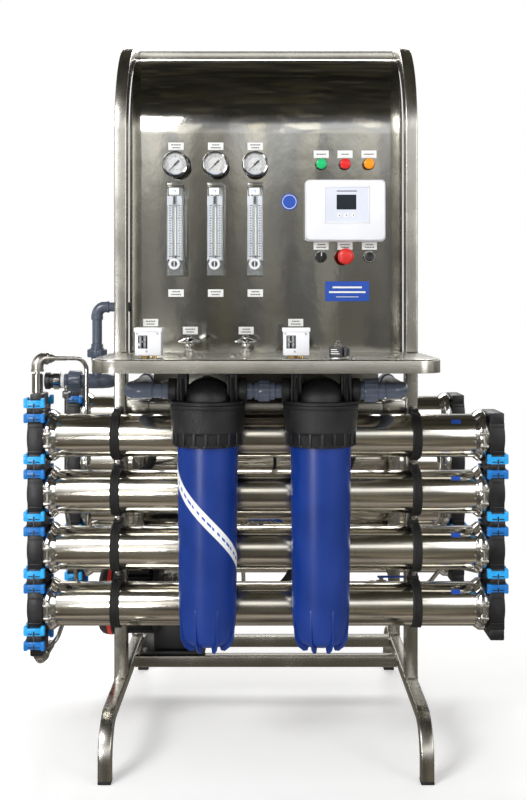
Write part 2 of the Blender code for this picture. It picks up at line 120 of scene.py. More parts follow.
ALONG, UPRIGHT = (0.02, 1, 1), (1, 1, 0.02)    # brushing along X, and up and down
BRUSHED = surface("steel_brushed", (0.52, 0.505, 0.465), 0.26, 1.0, UPRIGHT, 700, 0.08, 0.06, 0.10)
BRUSHED_X = surface("steel_brushed_across", (0.54, 0.525, 0.475), 0.24, 1.0, ALONG, 700, 0.12, 0.05, 0.09)
TUBE_STEEL = surface("steel_housing", (0.62, 0.595, 0.53), 0.16, 1.0, (0.015, 1, 1), 500, 0.10, 0.05, 0.08)
PANEL_STEEL = surface("steel_panel", (0.37, 0.365, 0.335), 0.09, 1.0, (1, 1, 0.7), 4.5, 0.30, 0.04, 0.09,
                      patch=3.5, bump_depth=0.0065)
# A darker copy of the steel: painted shade.
SHADED_STEEL = surface("steel_shaded", (0.20, 0.195, 0.175), 0.30, 1.0, ALONG, 600, 0.15, 0.06, 0.10)
FROST = surface("plastic_frosted", (0.56, 0.59, 0.64), 0.42, grain=300, bump=0.2, tone=0.12)
CHROME = surface("chrome_trim", (0.72, 0.72, 0.72), 0.10, 1.0, grain=150, bump=0.05, spread=0.04, tone=0.04)
BEZEL = surface("steel_bezel", (0.40, 0.40, 0.42), 0.12, 1.0, grain=150, bump=0.05, spread=0.04, tone=0.05)
SATIN = surface("steel_cast", (0.55, 0.53, 0.49), 0.34, 1.0, grain=420, bump=0.35, spread=0.06, tone=0.08)
BRASS = surface("brass_fitting", (0.72, 0.50, 0.20), 0.28, 1.0, grain=300, bump=0.1, spread=0.06)
BLACK = surface("plastic_black", (0.011, 0.011, 0.013), 0.40, grain=520, bump=0.55, spread=0.10, tone=0.40,
                patch=26)
CAP_BLACK = surface("plastic_cap", (0.011, 0.011, 0.012), 0.40, grain=520, bump=1.0, spread=0.09, tone=0.35,
                    patch=30, bump_depth=0.0009)
RUBBER = surface("rubber_black", (0.012, 0.012, 0.012), 0.72, grain=500, bump=0.4, tone=0.3)
BOWL_BLUE = surface("plastic_bowl_blue", (0.002, 0.029, 0.210), 0.36, grain=260, bump=0.30, spread=0.07,
                    tone=0.14)
CLIP_BLUE = surface("plastic_clip_blue", (0.002, 0.155, 0.500), 0.30, grain=400, bump=0.2, tone=0.16,
                    patch=40)
CLIP_LIGHT = surface("plastic_clip_light", (0.012, 0.360, 0.800), 0.30, grain=400, bump=0.2, tone=0.14,
                     patch=40)
GREY_PVC = surface("plastic_pipe_grey", (0.085, 0.103, 0.142), 0.22, grain=350, bump=0.15, tone=0.14)
PIPE_STEEL = surface("steel_pipe", (0.58, 0.57, 0.55), 0.22, 1.0, grain=140, bump=0.05, spread=0.05,
                     tone=0.07)
WHITE = surface("plastic_white", (0.78, 0.79, 0.82), 0.38, grain=600, bump=0.15, tone=0.03)
LABEL = surface("label_white", (0.82, 0.82, 0.80), 0.45, grain=500, bump=0.05, tone=0.02)
INK = surface("label_ink", (0.06, 0.06, 0.07), 0.5, grain=500, bump=0.05, tone=0.1)
PLATE_BLUE = surface("plate_blue", (0.015, 0.075, 0.42), 0.35, grain=400, bump=0.05, tone=0.06)
RED = surface("plastic_red", (0.68, 0.03, 0.025), 0.30, grain=400, bump=0.08, tone=0.08)
MOTOR = surface("paint_motor", (0.022, 0.022, 0.024), 0.42, 0.2, grain=250, bump=0.4, tone=0.2)
KEYPAD = surface("film_keypad", (0.66, 0.69, 0.78), 0.35, grain=300, bump=0.05, tone=0.03)
SCREEN = surface("screen_dark", (0.012, 0.017, 0.024), 0.12, grain=200, bump=0.02, tone=0.1)
LAMP_GREEN = surface("lamp_green", (0.01, 0.50, 0.16), 0.18, grain=300, bump=0.05, tone=0.05)
LAMP_RED = surface("lamp_red", (0.72, 0.02, 0.02), 0.18, grain=300, bump=0.05, tone=0.05)
LAMP_ORANGE = surface("lamp_orange", (0.90, 0.32, 0.005), 0.18, grain=300, bump=0.05, tone=0.05)
CLEAR = see_through("acrylic_clear", (0.93, 0.97, 0.98), 0.04, 1.30, 0.08)
GLASS = see_through("glass_cover", (0.98, 0.99, 1.0), 0.02, 1.10)

# ---- shapes ------------------------------------------------------------------------------
Z_UP = Matrix.Identity(4)
TO_FRONT = Matrix.Rotation(pi / 2, 4, "X")      # a shape's own +Z turned to -Y, its +Y to +Z
TO_RIGHT = Matrix.Rotation(pi / 2, 4, "Y")      # +Z turned to +X
TO_LEFT = Matrix.Rotation(-pi / 2, 4, "Y")
TO_FLOOR = Matrix.Rotation(pi, 4, "X")


def circle(radius, sides=20):
    return [(radius * cos(2 * pi * i / sides), radius * sin(2 * pi * i / sides)) for i in range(sides)]


def rounded_rectangle(width, height, corner, steps=3):
    points = []
    for sx, sy, start in ((1, 1, 0), (-1, 1, 90), (-1, -1, 180), (1, -1, 270)):
        for i in range(steps + 1):
            angle = radians(start + 90 * i / steps)
            points.append((sx * (width / 2 - corner) + corner * cos(angle),
                           sy * (height / 2 - corner) + corner * sin(angle)))
    return points


def arc(centre, radius, start, end, steps):
    """(depth, height) points: 0 degrees points to the front, 90 degrees up."""
    angles = [radians(start + (end - start) * i / steps) for i in range(steps + 1)]
    return [(centre[0] - radius * cos(a), centre[1] + radius * sin(a)) for a in angles]


def bend_route(corners, bend, steps=8):
    """Straight runs joined by arcs of one radius, or one radius for each inner corner."""
    bends = bend if isinstance(bend, (list, tuple)) else [bend] * (len(corners) - 2)
    points = [Vector(corners[0])]
    for before, corner, after, radius in zip(corners, corners[1:], corners[2:], bends):
        corner = Vector(corner)
        back = (Vector(before) - corner).normalized()
        onward = (Vector(after) - corner).normalized()
        half = back.angle(onward) / 2
        centre = corner + (back + onward).normalized() * radius / sin(half)
        reach = radius * cos(half) / sin(half)
        first = corner + back * reach - centre
        second = corner + onward * reach - centre
        for i in range(steps + 1):
            points.append(centre + first.slerp(second, i / steps).normalized() * radius)
    points.append(Vector(corners[-1]))
    return points


class Shape:
    """Collects solids in one mesh, then becomes a piece that rides on a body."""

    def __init__(self):
        self.mesh = bmesh.new()

    def _add(self, made, matrix):
        other = bpy.data.meshes.new("part")
        bmesh.ops.recalc_face_normals(made, faces=made.faces)
        bmesh.ops.transform(made, matrix=matrix, verts=made.verts)
        made.to_mesh(other)
        made.free()
        self.mesh.from_mesh(other)
        bpy.data.meshes.remove(other)
        return self

    def box(self, low, high, bevel=0.0, matrix=Z_UP, steps=2):
        made = bmesh.new()
        bmesh.ops.create_cube(made, size=1)
        for vertex in made.verts:
            vertex.co = [low[i] + (vertex.co[i] + 0.5) * (high[i] - low[i]) for i in range(3)]
        if bevel:
            bmesh.ops.bevel(made, geom=list(made.edges), offset=bevel, segments=steps, profile=0.5,
                            affect="EDGES")
        return self._add(made, matrix)

    def block(self, centre, size, bevel=0.0, turn=Z_UP, steps=2):
        half = [s / 2 for s in size]
        return self.box([-h for h in half], half, bevel, Matrix.Translation(centre) @ turn, steps)

    def lathe(self, profile, centre, axis=Z_UP, sides=48, wave=None):
        """Turns (radius, height) points; wave(angle, radius) may change a radius."""
        made = bmesh.new()
        rings = []
        for radius, height in profile:
            if radius == 0:
                rings.append([made.verts.new((0, 0, height))] * sides)
                continue
            ring = []
            for i in range(sides):
                angle = 2 * pi * i / sides
                size = wave(angle, radius) if wave else radius
                ring.append(made.verts.new((size * cos(angle), size * sin(angle), height)))
            rings.append(ring)
        if profile[0][0] > 0:
            rings.append(rings[0])
        for lower, upper in zip(rings, rings[1:]):
            for i in range(sides):
                j = (i + 1) % sides
                made.faces.new(list(dict.fromkeys((lower[i], lower[j], upper[j], upper[i]))))
        return self._add(made, Matrix.Translation(centre) @ axis)

    def rod(self, radius, low, high, centre, axis=Z_UP, sides=48):
        return self.lathe([(0, low), (radius, low), (radius, high), (0, high)], centre, axis, sides)

    def ring(self, inner, outer, low, high, centre, axis=Z_UP, sides=48):
        profile = [(inner, low), (outer, low), (outer, high), (inner, high)]
        return self.lathe(profile, centre, axis, sides)

    def sweep(self, route, section, up=None, sizes=None, closed=False):
        """Carries a flat section along a route; sizes scale it at each point."""
        made = bmesh.new()
        points = [Vector(p) for p in route]
        last = len(points) - 1
        rings = []
        across = None
        before = None
        for i, point in enumerate(points):
            coming = point - points[i - 1] if i or closed else points[1] - point
            going = points[(i + 1) % len(points)] - point if i < last or closed else coming
            coming = coming.normalized() if coming.length > 1e-9 else before
            going = going.normalized() if going.length > 1e-9 else coming
            forward = (coming + going).normalized()
            if across is None:
                guide = Vector(up) if up else forward.orthogonal()
                across = (guide - forward * guide.dot(forward)).normalized()
            else:
                across = (before.rotation_difference(forward) @ across).normalized()
            before = forward
            side = forward.cross(across)
            stretch = 1 / max(0.5, forward.dot(coming))
            size = sizes[i] if sizes else 1
            inner = going - coming
            widen = inner.normalized() if inner.length > 1e-6 else None
            ring = []
            for u, v in section:
                offset = (across * v + side * u) * size
                if widen:
                    offset += widen * offset.dot(widen) * (stretch - 1)
                ring.append(made.verts.new(point + offset))
            rings.append(ring)
        if closed:
            rings.append(rings[0])
        count = len(section)
        for lower, upper in zip(rings, rings[1:]):
            for i in range(count):
                j = (i + 1) % count
                made.faces.new((lower[i], lower[j], upper[j], upper[i]))
        if not closed:
            made.faces.new(rings[0])
            made.faces.new(rings[-1])
        return self._add(made, Z_UP)

    def pipe(self, corners, bend, radius, collars=(), sides=24, steps=8):
        """A round pipe; collars are (start, end, radius) along its length, with soft shoulders."""
        points = bend_route(corners, bend, steps)
        lengths = [0.0]
        for a, b in zip(points, points[1:]):
            lengths.append(lengths[-1] + (b - a).length)
        marks = sorted(set(lengths) | {e for c in collars for e in c[:2] if 0 < e < lengths[-1]})
        soft = 0.0008
        route, sizes = [], []

        def size_at(distance):
            for start, end, wide in collars:
                if start <= distance <= end:
                    return wide
            return radius

        def point_at(distance):
            for i in range(len(points) - 1):
                if distance <= lengths[i + 1] + 1e-9:
                    share = (distance - lengths[i]) / max(1e-9, lengths[i + 1] - lengths[i])
                    return points[i].lerp(points[i + 1], min(1, max(0, share)))
            return points[-1]

        for distance in marks:
            low, high = size_at(distance - 1e-6), size_at(distance + 1e-6)
            if low != high and 0 < distance < lengths[-1]:
                wide, narrow = max(low, high), min(low, high)
                lean = soft if low < high else -soft
                near = [(distance, narrow), (distance + lean * 0.05, wide - soft), (distance + lean, wide)]
                for spot, size in near if low < high else reversed(near):
                    route.append(point_at(spot))
                    sizes.append(size)
            else:
                route.append(point_at(distance))
                sizes.append(size_at(distance))
        return self.sweep(route, circle(1, sides), sizes=sizes)

    def prism(self, outline, low, high, matrix=Z_UP, bevel=0.0, steps=2):
        """A flat outline in the shape's own XY, extruded between two heights."""
        made = bmesh.new()
        base = made.faces.new([made.verts.new((x, y, low)) for x, y in outline])
        raised = bmesh.ops.extrude_face_region(made, geom=[base])
        moved = [v for v in raised["geom"] if isinstance(v, bmesh.types.BMVert)]
        bmesh.ops.translate(made, verts=moved, vec=(0, 0, high - low))
        if bevel:
            bmesh.ops.bevel(made, geom=list(made.edges), offset=bevel, segments=steps, profile=0.5,
                            affect="EDGES")
        return self._add(made, matrix)

    def bolt(self, centre, size, height, axis=Z_UP, washer=True):
        """A hexagon head on a washer."""
        centre = Vector(centre)
        if washer:
            self.rod(size * 1.1, 0, height * 0.2, centre, axis, 24)
        self.lathe([(0, height * 0.2), (size, height * 0.2), (size, height * 0.85),
                    (size * 0.86, height), (0, height)], centre, axis, 6)
        return self

    def finish_moving(self, name, look, node_name):
        """The skin of a CAD node that is a body of its own."""
        return self.finish(name, look, node_name, [node_name])

    def finish(self, name, look, body=STAND, replaced=(), sharp_angle=32):
        mesh = bpy.data.meshes.new(name)
        self.mesh.to_mesh(mesh)
        self.mesh.free()
        mesh.shade_smooth()
        mesh.set_sharp_from_angle(angle=radians(sharp_angle))
        mesh.materials.append(look)
        made = bpy.data.objects.new(name, mesh)
        bpy.context.scene.collection.objects.link(made)
        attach(made, body)
        if replaced:
            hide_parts(*replaced)
        return made


# ---- stand -------------------------------------------------------------------------------
TUBE = 0.030
TUBE_SECTION = rounded_rectangle(TUBE, TUBE, 0.0035)
ARCH_CENTRE = (0.260, 1.500)
POST_DEPTH = 0.050
RAIL_Z = 0.130
INNER_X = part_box("side_tube_right")[0].x


def in_plane(x, points):
    return [at(x, depth, z) for depth, z in points]


def weld(shape, centre, width, depth, normal="Z"):
    """A thin bead around a tube's end."""
    turn = {"Z": Z_UP, "X": TO_RIGHT}[normal]
    loop = []
    for x, y in rounded_rectangle(width, depth, 0.004, 3):
        loop.append(Matrix.Translation(centre) @ turn @ Vector((x, y, 0)))
    shape.sweep(loop, circle(0.0016, 6), closed=True)


def add_stand():
    for side, sign in (("left", -1), ("right", 1)):
        x = sign * (INNER_X + TUBE / 2)
        half = POST_DEPTH / 2
        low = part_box(f"side_tube_{side}")[0]
        arch = arc(ARCH_CENTRE, ARCH_CENTRE[0] - half, 0, 100, 40)
        route = in_plane(x, [(half, low.z)] + arch)
        post = Shape().sweep(route, rounded_rectangle(TUBE, POST_DEPTH, 0.0035), up=(0, 1, 0))
        weld(post, at(x, half, low.z + 0.001), TUBE, POST_DEPTH)
        weld(post, at(x, half, 0.9515), TUBE, POST_DEPTH)
        post.finish(f"side_tube_skin_{side}", BRUSHED, replaced=[f"side_tube_{side}"])
        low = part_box(f"base_rail_{side}")[0]
        front, rear, bend = -0.255, 0.520, 0.085
        first = arc((front + bend, RAIL_Z - bend), bend, 0, 90, 16)
        second = arc((rear - bend, RAIL_Z - bend), bend, 90, 180, 16)
        route = in_plane(x, [(front, low.z)] + first + second + [(rear, low.z)])
        rail = Shape().sweep(route, TUBE_SECTION, up=(0, 1, 0))
        rail.finish(f"base_rail_skin_{side}", BRUSHED, replaced=[f"base_rail_{side}"])
        low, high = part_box(f"rear_post_{side}")
        centre = (low + high) / 2
        route = [(centre.x, centre.y, low.z), (centre.x, centre.y, high.z)]
        post = Shape().sweep(route, rounded_rectangle(TUBE, 0.040, 0.0035), up=(0, 1, 0))
        weld(post, Vector((centre.x, centre.y, low.z + 0.001)), TUBE, 0.040)
        post.finish(f"rear_post_skin_{side}", BRUSHED, replaced=[f"rear_post_{side}"])
        cap = Shape().box((centre.x - 0.0145, centre.y - 0.0195, high.z),
                          (centre.x + 0.0145, centre.y + 0.0195, high.z + 0.004), 0.0015)
        cap.finish(f"rear_post_plug_{side}", BLACK)
        for end in ("front", "rear"):
            low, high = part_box(f"foot_cap_{end}_{side}")
            foot = Shape().box(low, high, 0.0018)
            grip = low + Vector((0.003, 0.003, 0))
            foot.box(grip, (high.x - 0.003, high.y - 0.003, high.z + 0.0002), 0.001)
            foot.finish(f"foot_cap_skin_{end}_{side}", RUBBER, replaced=[f"foot_cap_{end}_{side}"])
    for name in ("low_crossbar_front", "low_crossbar_rear", "mid_crossbar", "top_crossbar"):
        low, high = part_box(name)
        centre = (low + high) / 2
        section = rounded_rectangle(high.y - low.y, high.z - low.z, 0.003)
        bar = Shape().sweep([(low.x, centre.y, centre.z), (high.x, centre.y, centre.z)], section,
                            up=(0, 0, 1))
        inset = 0.0036 if name == "top_crossbar" else 0.0
        for x in (low.x + 0.001, high.x - 0.001):
            weld(bar, Vector((x, centre.y, centre.z)), high.z - low.z - inset, high.y - low.y - inset, "X")
        bar.finish(f"{name}_skin", BRUSHED_X, replaced=[name])


def add_panel():
    low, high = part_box("control_panel")
    sheet = 0.003
    panel_arch = (0.300, 1.500)
    mid = 0.062 + sheet / 2
    route = in_plane(0, [(mid, low.z), (mid, 1.2)] + arc(panel_arch, panel_arch[0] - mid, 0, 86, 48))
    section = rounded_rectangle(high.x - low.x, sheet, 0.0012, 2)
    Shape().sweep(route, section, up=(0, 1, 0)).finish(
        "control_panel_skin", PANEL_STEEL, replaced=["control_panel"])
    edge = Shape()
    for sign in (-1, 1):
        x = sign * (high.x - 0.004)
        arch = arc(panel_arch, panel_arch[0] - mid - 0.012, 0, 86, 30)
        edge.sweep(in_plane(x, [(mid + 0.012, low.z + 0.04)] + arch),
                   rounded_rectangle(0.003, 0.020, 0.001, 2), up=(0, 1, 0))
    edge.finish("panel_back_flange", BRUSHED)


def shelf_outline(inset):
    half, front, corner = 0.385 - inset, -0.340 + inset, 0.060 - inset
    outline = []
    for i in range(17):
        angle = radians(90 * i / 16)
        outline.append((corner * sin(angle) + half - corner, front + corner * (1 - cos(angle))))
    gap = 0.0003 + inset
    outline += [(half, -gap), (INNER_X - gap, -gap), (INNER_X - gap, 0.062 - gap)]
    return outline + [(-x, y) for x, y in reversed(outline)]


def add_shelf():
    """The shelf's sheet: a top with rolled edges and a folded lip, hollow below."""
    low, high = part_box("shelf")
    sheet, roll = 0.0025, 0.004
    made = bmesh.new()
    layers = [(roll * (1 - cos(radians(a))), high.z - roll * (1 - sin(radians(a))))
              for a in (0, 22, 45, 67, 90)]
    layers = [(0, low.z)] + layers
    rings = [[made.verts.new((x, y + POST_FACE, z)) for x, y in shelf_outline(inset)]
             for inset, z in layers]
    inner = [[made.verts.new((x, y + POST_FACE, z)) for x, y in shelf_outline(sheet)]
             for z in (low.z, high.z - sheet)]
    loops = [inner[1], inner[0]] + rings
    for lower, upper in zip(loops, loops[1:]):
        for i in range(len(lower)):
            j = (i + 1) % len(lower)
            made.faces.new((lower[i], lower[j], upper[j], upper[i]))
    made.faces.new(rings[-1])
    made.faces.new(inner[1])
    shelf = Shape()
    shelf._add(made, Z_UP)
    shelf.finish("shelf_skin", BRUSHED_X, replaced=["shelf"])
    bolts = Shape()
    for side in ("left", "right"):
        x = middle(f"filter_bowl_{side}").x
        for dx in (-0.0565, 0.0565):
            for depth in (-0.222, -0.184):
                bolts.bolt(at(x + dx, depth, high.z), 0.0065, 0.006)
    bolts.finish("shelf_bolts", SATIN)


# ---- membranes ---------------------------------------------------------------------------
HOUSINGS = [(column, row) for column in ("front", "rear") for row in (1, 2, 3, 4)]


def add_housings():
    low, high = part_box("membrane_housing_front_1")
    radius = (high.z - low.z) / 2
    half = high.x
    end = [(radius - 0.003, half), (radius, half), (radius, half - 0.006), (radius - 0.0035, half - 0.010),
           (radius - 0.0035, half - 0.018), (radius, half - 0.026)]
    wall = end + [(r, -h) for r, h in reversed(end)]
    clamp = [(radius - 0.001, 0.4985), (radius + 0.0026, 0.4990), (radius + 0.0036, 0.5010),
             (radius + 0.0088, 0.5080), (radius + 0.0096, 0.5110), (radius + 0.0096, 0.5190),
             (radius + 0.0088, 0.5212), (radius + 0.0036, 0.5262), (radius - 0.001, 0.5268)]
    strap = [(radius + 0.0002, -0.0105), (radius + 0.0035, -0.0105), (radius + 0.0045, -0.008)]
    for z in (-0.0055, 0.0, 0.0055):              # three raised ribs on the rubber
        strap += [(radius + 0.0045, z - 0.0016), (radius + 0.0030, z - 0.0010),
                  (radius + 0.0030, z + 0.0010), (radius + 0.0045, z + 0.0016)]
    strap += [(radius + 0.0045, 0.0095), (radius + 0.0035, 0.0105), (radius + 0.0002, 0.0105)]
    for column, row in HOUSINGS:
        name = f"membrane_housing_{column}_{row}"
        centre = middle(name)
        out = -1 if column == "front" else 1
        tube = Shape().lathe(wall, centre, TO_RIGHT, 72)
        for x in (-0.20, 0.21):
            tube.ring(radius - 0.001, radius + 0.0003, x, x + 0.0012, centre, TO_RIGHT, 72)
        tube.finish(f"{name}_skin", TUBE_STEEL, replaced=[name])
        plugs, clamps, lugs, bands, studs = (Shape() for _ in range(5))
        for axis, sign in ((TO_LEFT, -1), (TO_RIGHT, 1)):
            plugs.rod(radius - 0.0035, half - 0.030, half, centre, axis, 40)
            clamps.lathe(clamp, centre, axis, 64)
            for rise in (-0.019, 0.011):
                lugs.block(centre + Vector((sign * 0.5145, out * (radius + 0.0105), rise)),
                           (0.019, 0.0148, 0.007), 0.0018)
            base = centre + Vector((sign * 0.5145, out * (radius + 0.0125), -0.029))
            lugs.sweep([base, base + Vector((0, 0, 0.052))], circle(0.0032, 12))
            lugs.bolt(base + Vector((0, 0, 0.0395)), 0.0062, 0.010, Z_UP, False)
            lugs.bolt(base, 0.0062, 0.006, Z_UP, False)
            place = centre + Vector((sign * 0.360, 0, 0))
            bands.lathe(strap, place, TO_RIGHT, 56)
            for rise in (-1, 1):
                ear = place + Vector((0, -out * 0.030, rise * (radius + 0.006)))
                bands.block(ear, (0.021, 0.036, 0.008), 0.0015)
                studs.bolt(ear + Vector((0, out * 0.004, rise * 0.003)), 0.005, 0.006,
                           Z_UP if rise > 0 else TO_FLOOR)
        plugs.finish(f"end_plugs_{column}_{row}", BLACK)
        if column == "front":
            # Small blue bars on the upper front of each front housing's right end: a painted reflection of
            # the blue clips, not a real sticker.
            painted_clip_reflection = Shape()
            for degrees in range(-50, -39, 3):
                angle = radians(degrees)
                reach = radius + 0.0005
                spot = centre + Vector((0.452, -reach * cos(angle), -reach * sin(angle)))
                painted_clip_reflection.box((-0.011, -0.0004, -0.0017), (0.011, 0.0002, 0.0017), 0,
                            Matrix.Translation(spot) @ Matrix.Rotation(angle, 4, "X"))
            painted_clip_reflection.finish(f"housing_clip_reflection_{row}", PLATE_BLUE)
        for kind, shape, look in (("v_clamps", clamps, CHROME), ("clamp_lugs", lugs, SATIN),
                                  ("straps", bands, RUBBER), ("strap_bolts", studs, SATIN)):
            shape.finish(f"{kind}_{column}_{row}", look)


MANIFOLD_IN, MANIFOLD_OUT, CLIP_OUT = 0.528, 0.565, 0.573
LOW_Z, HIGH_Z, PITCH = 0.275, 0.813, 0.135


def add_clip(light, blue, dark, sign, column_y, z):
    """A pair of blue latches over a dark core, round the column's outer sides."""
    x0, x1 = sorted((sign * 0.5225, sign * (CLIP_OUT - 0.0005)))
    x = (x0 + x1) / 2
    half = 0.0535
    for shape, low, high, lobe_low, lobe_high in ((light, 0.0062, 0.0240, 0.0062, 0.0294),
                                                  (blue, -0.0262, -0.0080, -0.0294, -0.0070)):
        for out in (-1, 1):
            face = column_y + out * (half + 0.0060)
            near, far = sorted((column_y + out * (half - 0.006), face))
            shape.box((x0 + 0.002, near, z + low), (x1 - 0.002, far, z + high), 0.0022)
            for edge in (x0, x1 - 0.0095):
                shape.box((edge, near - 0.0008, z + lobe_low),
                          (edge + 0.0095, far + 0.0008, z + lobe_high), 0.0028)
            core = z + (low + high) / 2
            shape.box((x0 + 0.011, near - 0.0012, core + 0.0030),
                      (x1 - 0.011, far + 0.0012, core + 0.0062), 0.0012)
            for slot in (x - 0.0085, x + 0.0085):
                dark.box((slot - 0.0055, near - 0.0009, core - 0.0052),
                         (slot + 0.0055, far + 0.0009, core - 0.0028))
            dark.box((x - 0.0016, near - 0.0010, z + low + 0.001), (x + 0.0016, far + 0.0010, core + 0.002))
        side = sorted((sign * (CLIP_OUT - 0.0070), sign * (CLIP_OUT - 0.0005)))
        shape.box((side[0], column_y - half, z + low), (side[1], column_y + half, z + high), 0.0022)
        for y in (-0.026, 0.026):
            shape.box((side[0] - 0.0003, column_y + y - 0.007, z + lobe_low),
                      (side[1] + 0.0003, column_y + y + 0.007, z + lobe_high), 0.0022)
    for out in (-1, 1):
        face = column_y + out * (half + 0.0035)
        near, far = sorted((column_y + out * (half - 0.006), face))
        for cell in (x - 0.0095, x + 0.0095):
            dark.box((cell - 0.0080, near, z - 0.0078), (cell + 0.0080, far, z + 0.0060), 0.0012)
            dark.box((cell - 0.0042, near - 0.0012, z - 0.0048),
                     (cell + 0.0042, far + 0.0012, z + 0.0030), 0.0012)
    dark.box((x - 0.0180, column_y - half + 0.002, z - 0.0060),
             (x + 0.0180, column_y + half - 0.002, z + 0.0045), 0.001)


def add_clip_cross(cross, sign, column_y, z):
    """The pale latch tongue that crosses each pair of latches."""
    x = sign * (0.5225 + CLIP_OUT) / 2
    for out in (-1, 1):
        near, far = sorted((column_y + out * 0.0480, column_y + out * 0.0590))
        cross.box((x - 0.0011, near, z - 0.0085), (x + 0.0011, far, z + 0.0135), 0.0005)
        cross.box((x - 0.0175, near, z + 0.0044), (x + 0.0175, far, z + 0.0060), 0.0005)


def add_manifolds():
    """Four columns of stacked end blocks with their latches."""
    for column in ("front", "rear"):
        for side, sign in (("left", -1), ("right", 1)):
            name = f"manifold_{column}_{side}"
            low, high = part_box(name)
            y = (low.y + high.y) / 2
            x = sign * (MANIFOLD_IN + MANIFOLD_OUT) / 2
            body, dark, blue, light, cross = (Shape() for _ in range(5))
            edges = sorted((sign * MANIFOLD_IN, sign * MANIFOLD_OUT))
            joints = [0.754 - (row + 0.5) * PITCH for row in range(3)]
            tops = [HIGH_Z] + [j - 0.002 for j in joints]
            feet = [j + 0.002 for j in joints] + [LOW_Z]
            for top, foot in zip(tops, feet):
                body.box((edges[0], y - 0.052, foot + 0.022), (edges[1], y + 0.052, top - 0.022), 0.004)
                for z0, z1 in ((foot, foot + 0.026), (top - 0.026, top)):
                    body.box((edges[0] + 0.0015, y - 0.054, z0), (edges[1] - 0.0015, y + 0.054, z1), 0.003)
                core = (top + foot) / 2
                body.lathe([(0, 0), (0.045, 0), (0.045, 0.002), (0.040, 0.004), (0.020, 0.004),
                            (0.018, 0.0025), (0, 0.0025)],
                           (sign * (MANIFOLD_OUT - 0.0005), y, core), TO_RIGHT if sign > 0 else TO_LEFT, 40)
                for rib in (-0.030, 0.030):
                    body.block((x, y, core + rib), (0.032, 0.107, 0.004), 0.001)
            clips = list(joints)
            if side == "left":
                clips += [LOW_Z + 0.006, HIGH_Z + 0.006]
                body.box((edges[0] + 0.003, y - 0.036, HIGH_Z - 0.001),
                         (edges[1] - 0.003, y + 0.036, high.z), 0.004)
                body.box((edges[0] + 0.003, y - 0.036, low.z),
                         (edges[1] - 0.003, y + 0.036, LOW_Z + 0.001), 0.004)
            for z in clips:
                add_clip(light, blue, dark, sign, y, z)
                add_clip_cross(cross, sign, y, z)
            body.finish(f"{name}_blocks", BLACK, replaced=[name])
            dark.finish(f"{name}_clip_cores", CAP_BLACK)
            blue.finish(f"{name}_lower_clips", CLIP_BLUE)
            light.finish(f"{name}_upper_clips", CLIP_LIGHT)
            cross.finish(f"{name}_clip_tongues", GREY_PVC)


# ---- filters -----------------------------------------------------------------------------
PORT_Z, FILTER_DEPTH = 0.873, -0.203


def bowl_radius(z):
    return 0.0655 + (0.0690 - 0.0655) * (z - 0.369) / (0.735 - 0.369)


def add_band(axis):
    """A plain white band with short blue bars, stuck slantwise on the front of the left bowl."""
    for name, look, parts, half, lift in (("white", LABEL, 1, 0.0165, 0.0004),
                                          ("bars", PLATE_BLUE, 15, 0.0030, 0.0008)):
        shape = Shape()
        for part in range(parts):
            steps, start, length = 40, 0.0, 1.0
            if parts > 1:                         # bars of four lengths
                steps = 2
                start = 0.10 + 0.86 * (part + 0.12) / parts
                length = 0.86 * (0.40 + 0.13 * (part % 4)) / parts
            made = bmesh.new()
            rings = []
            for i in range(steps + 1):
                t = start + length * i / steps
                angle = radians(-176 + 172 * t)
                z = 0.692 - 0.212 * t
                ring = []
                for dz, out in ((-half, 0), (half, 0), (half, lift), (-half, lift)):
                    r = bowl_radius(z + dz) + (out if out else -0.0006)
                    ring.append(made.verts.new((r * cos(angle), r * sin(angle), z + dz)))
                rings.append(ring)
            for lower, upper in zip(rings, rings[1:]):
                for k in range(4):
                    made.faces.new((lower[k], upper[k], upper[(k + 1) % 4], lower[(k + 1) % 4]))
            made.faces.new(list(reversed(rings[0])))
            made.faces.new(rings[-1])
            bmesh.ops.recalc_face_normals(made, faces=made.faces)
            shape._add(made, Matrix.Translation(axis))
        shape.finish(f"bowl_band_{name}", look, "filter_bowl_left")


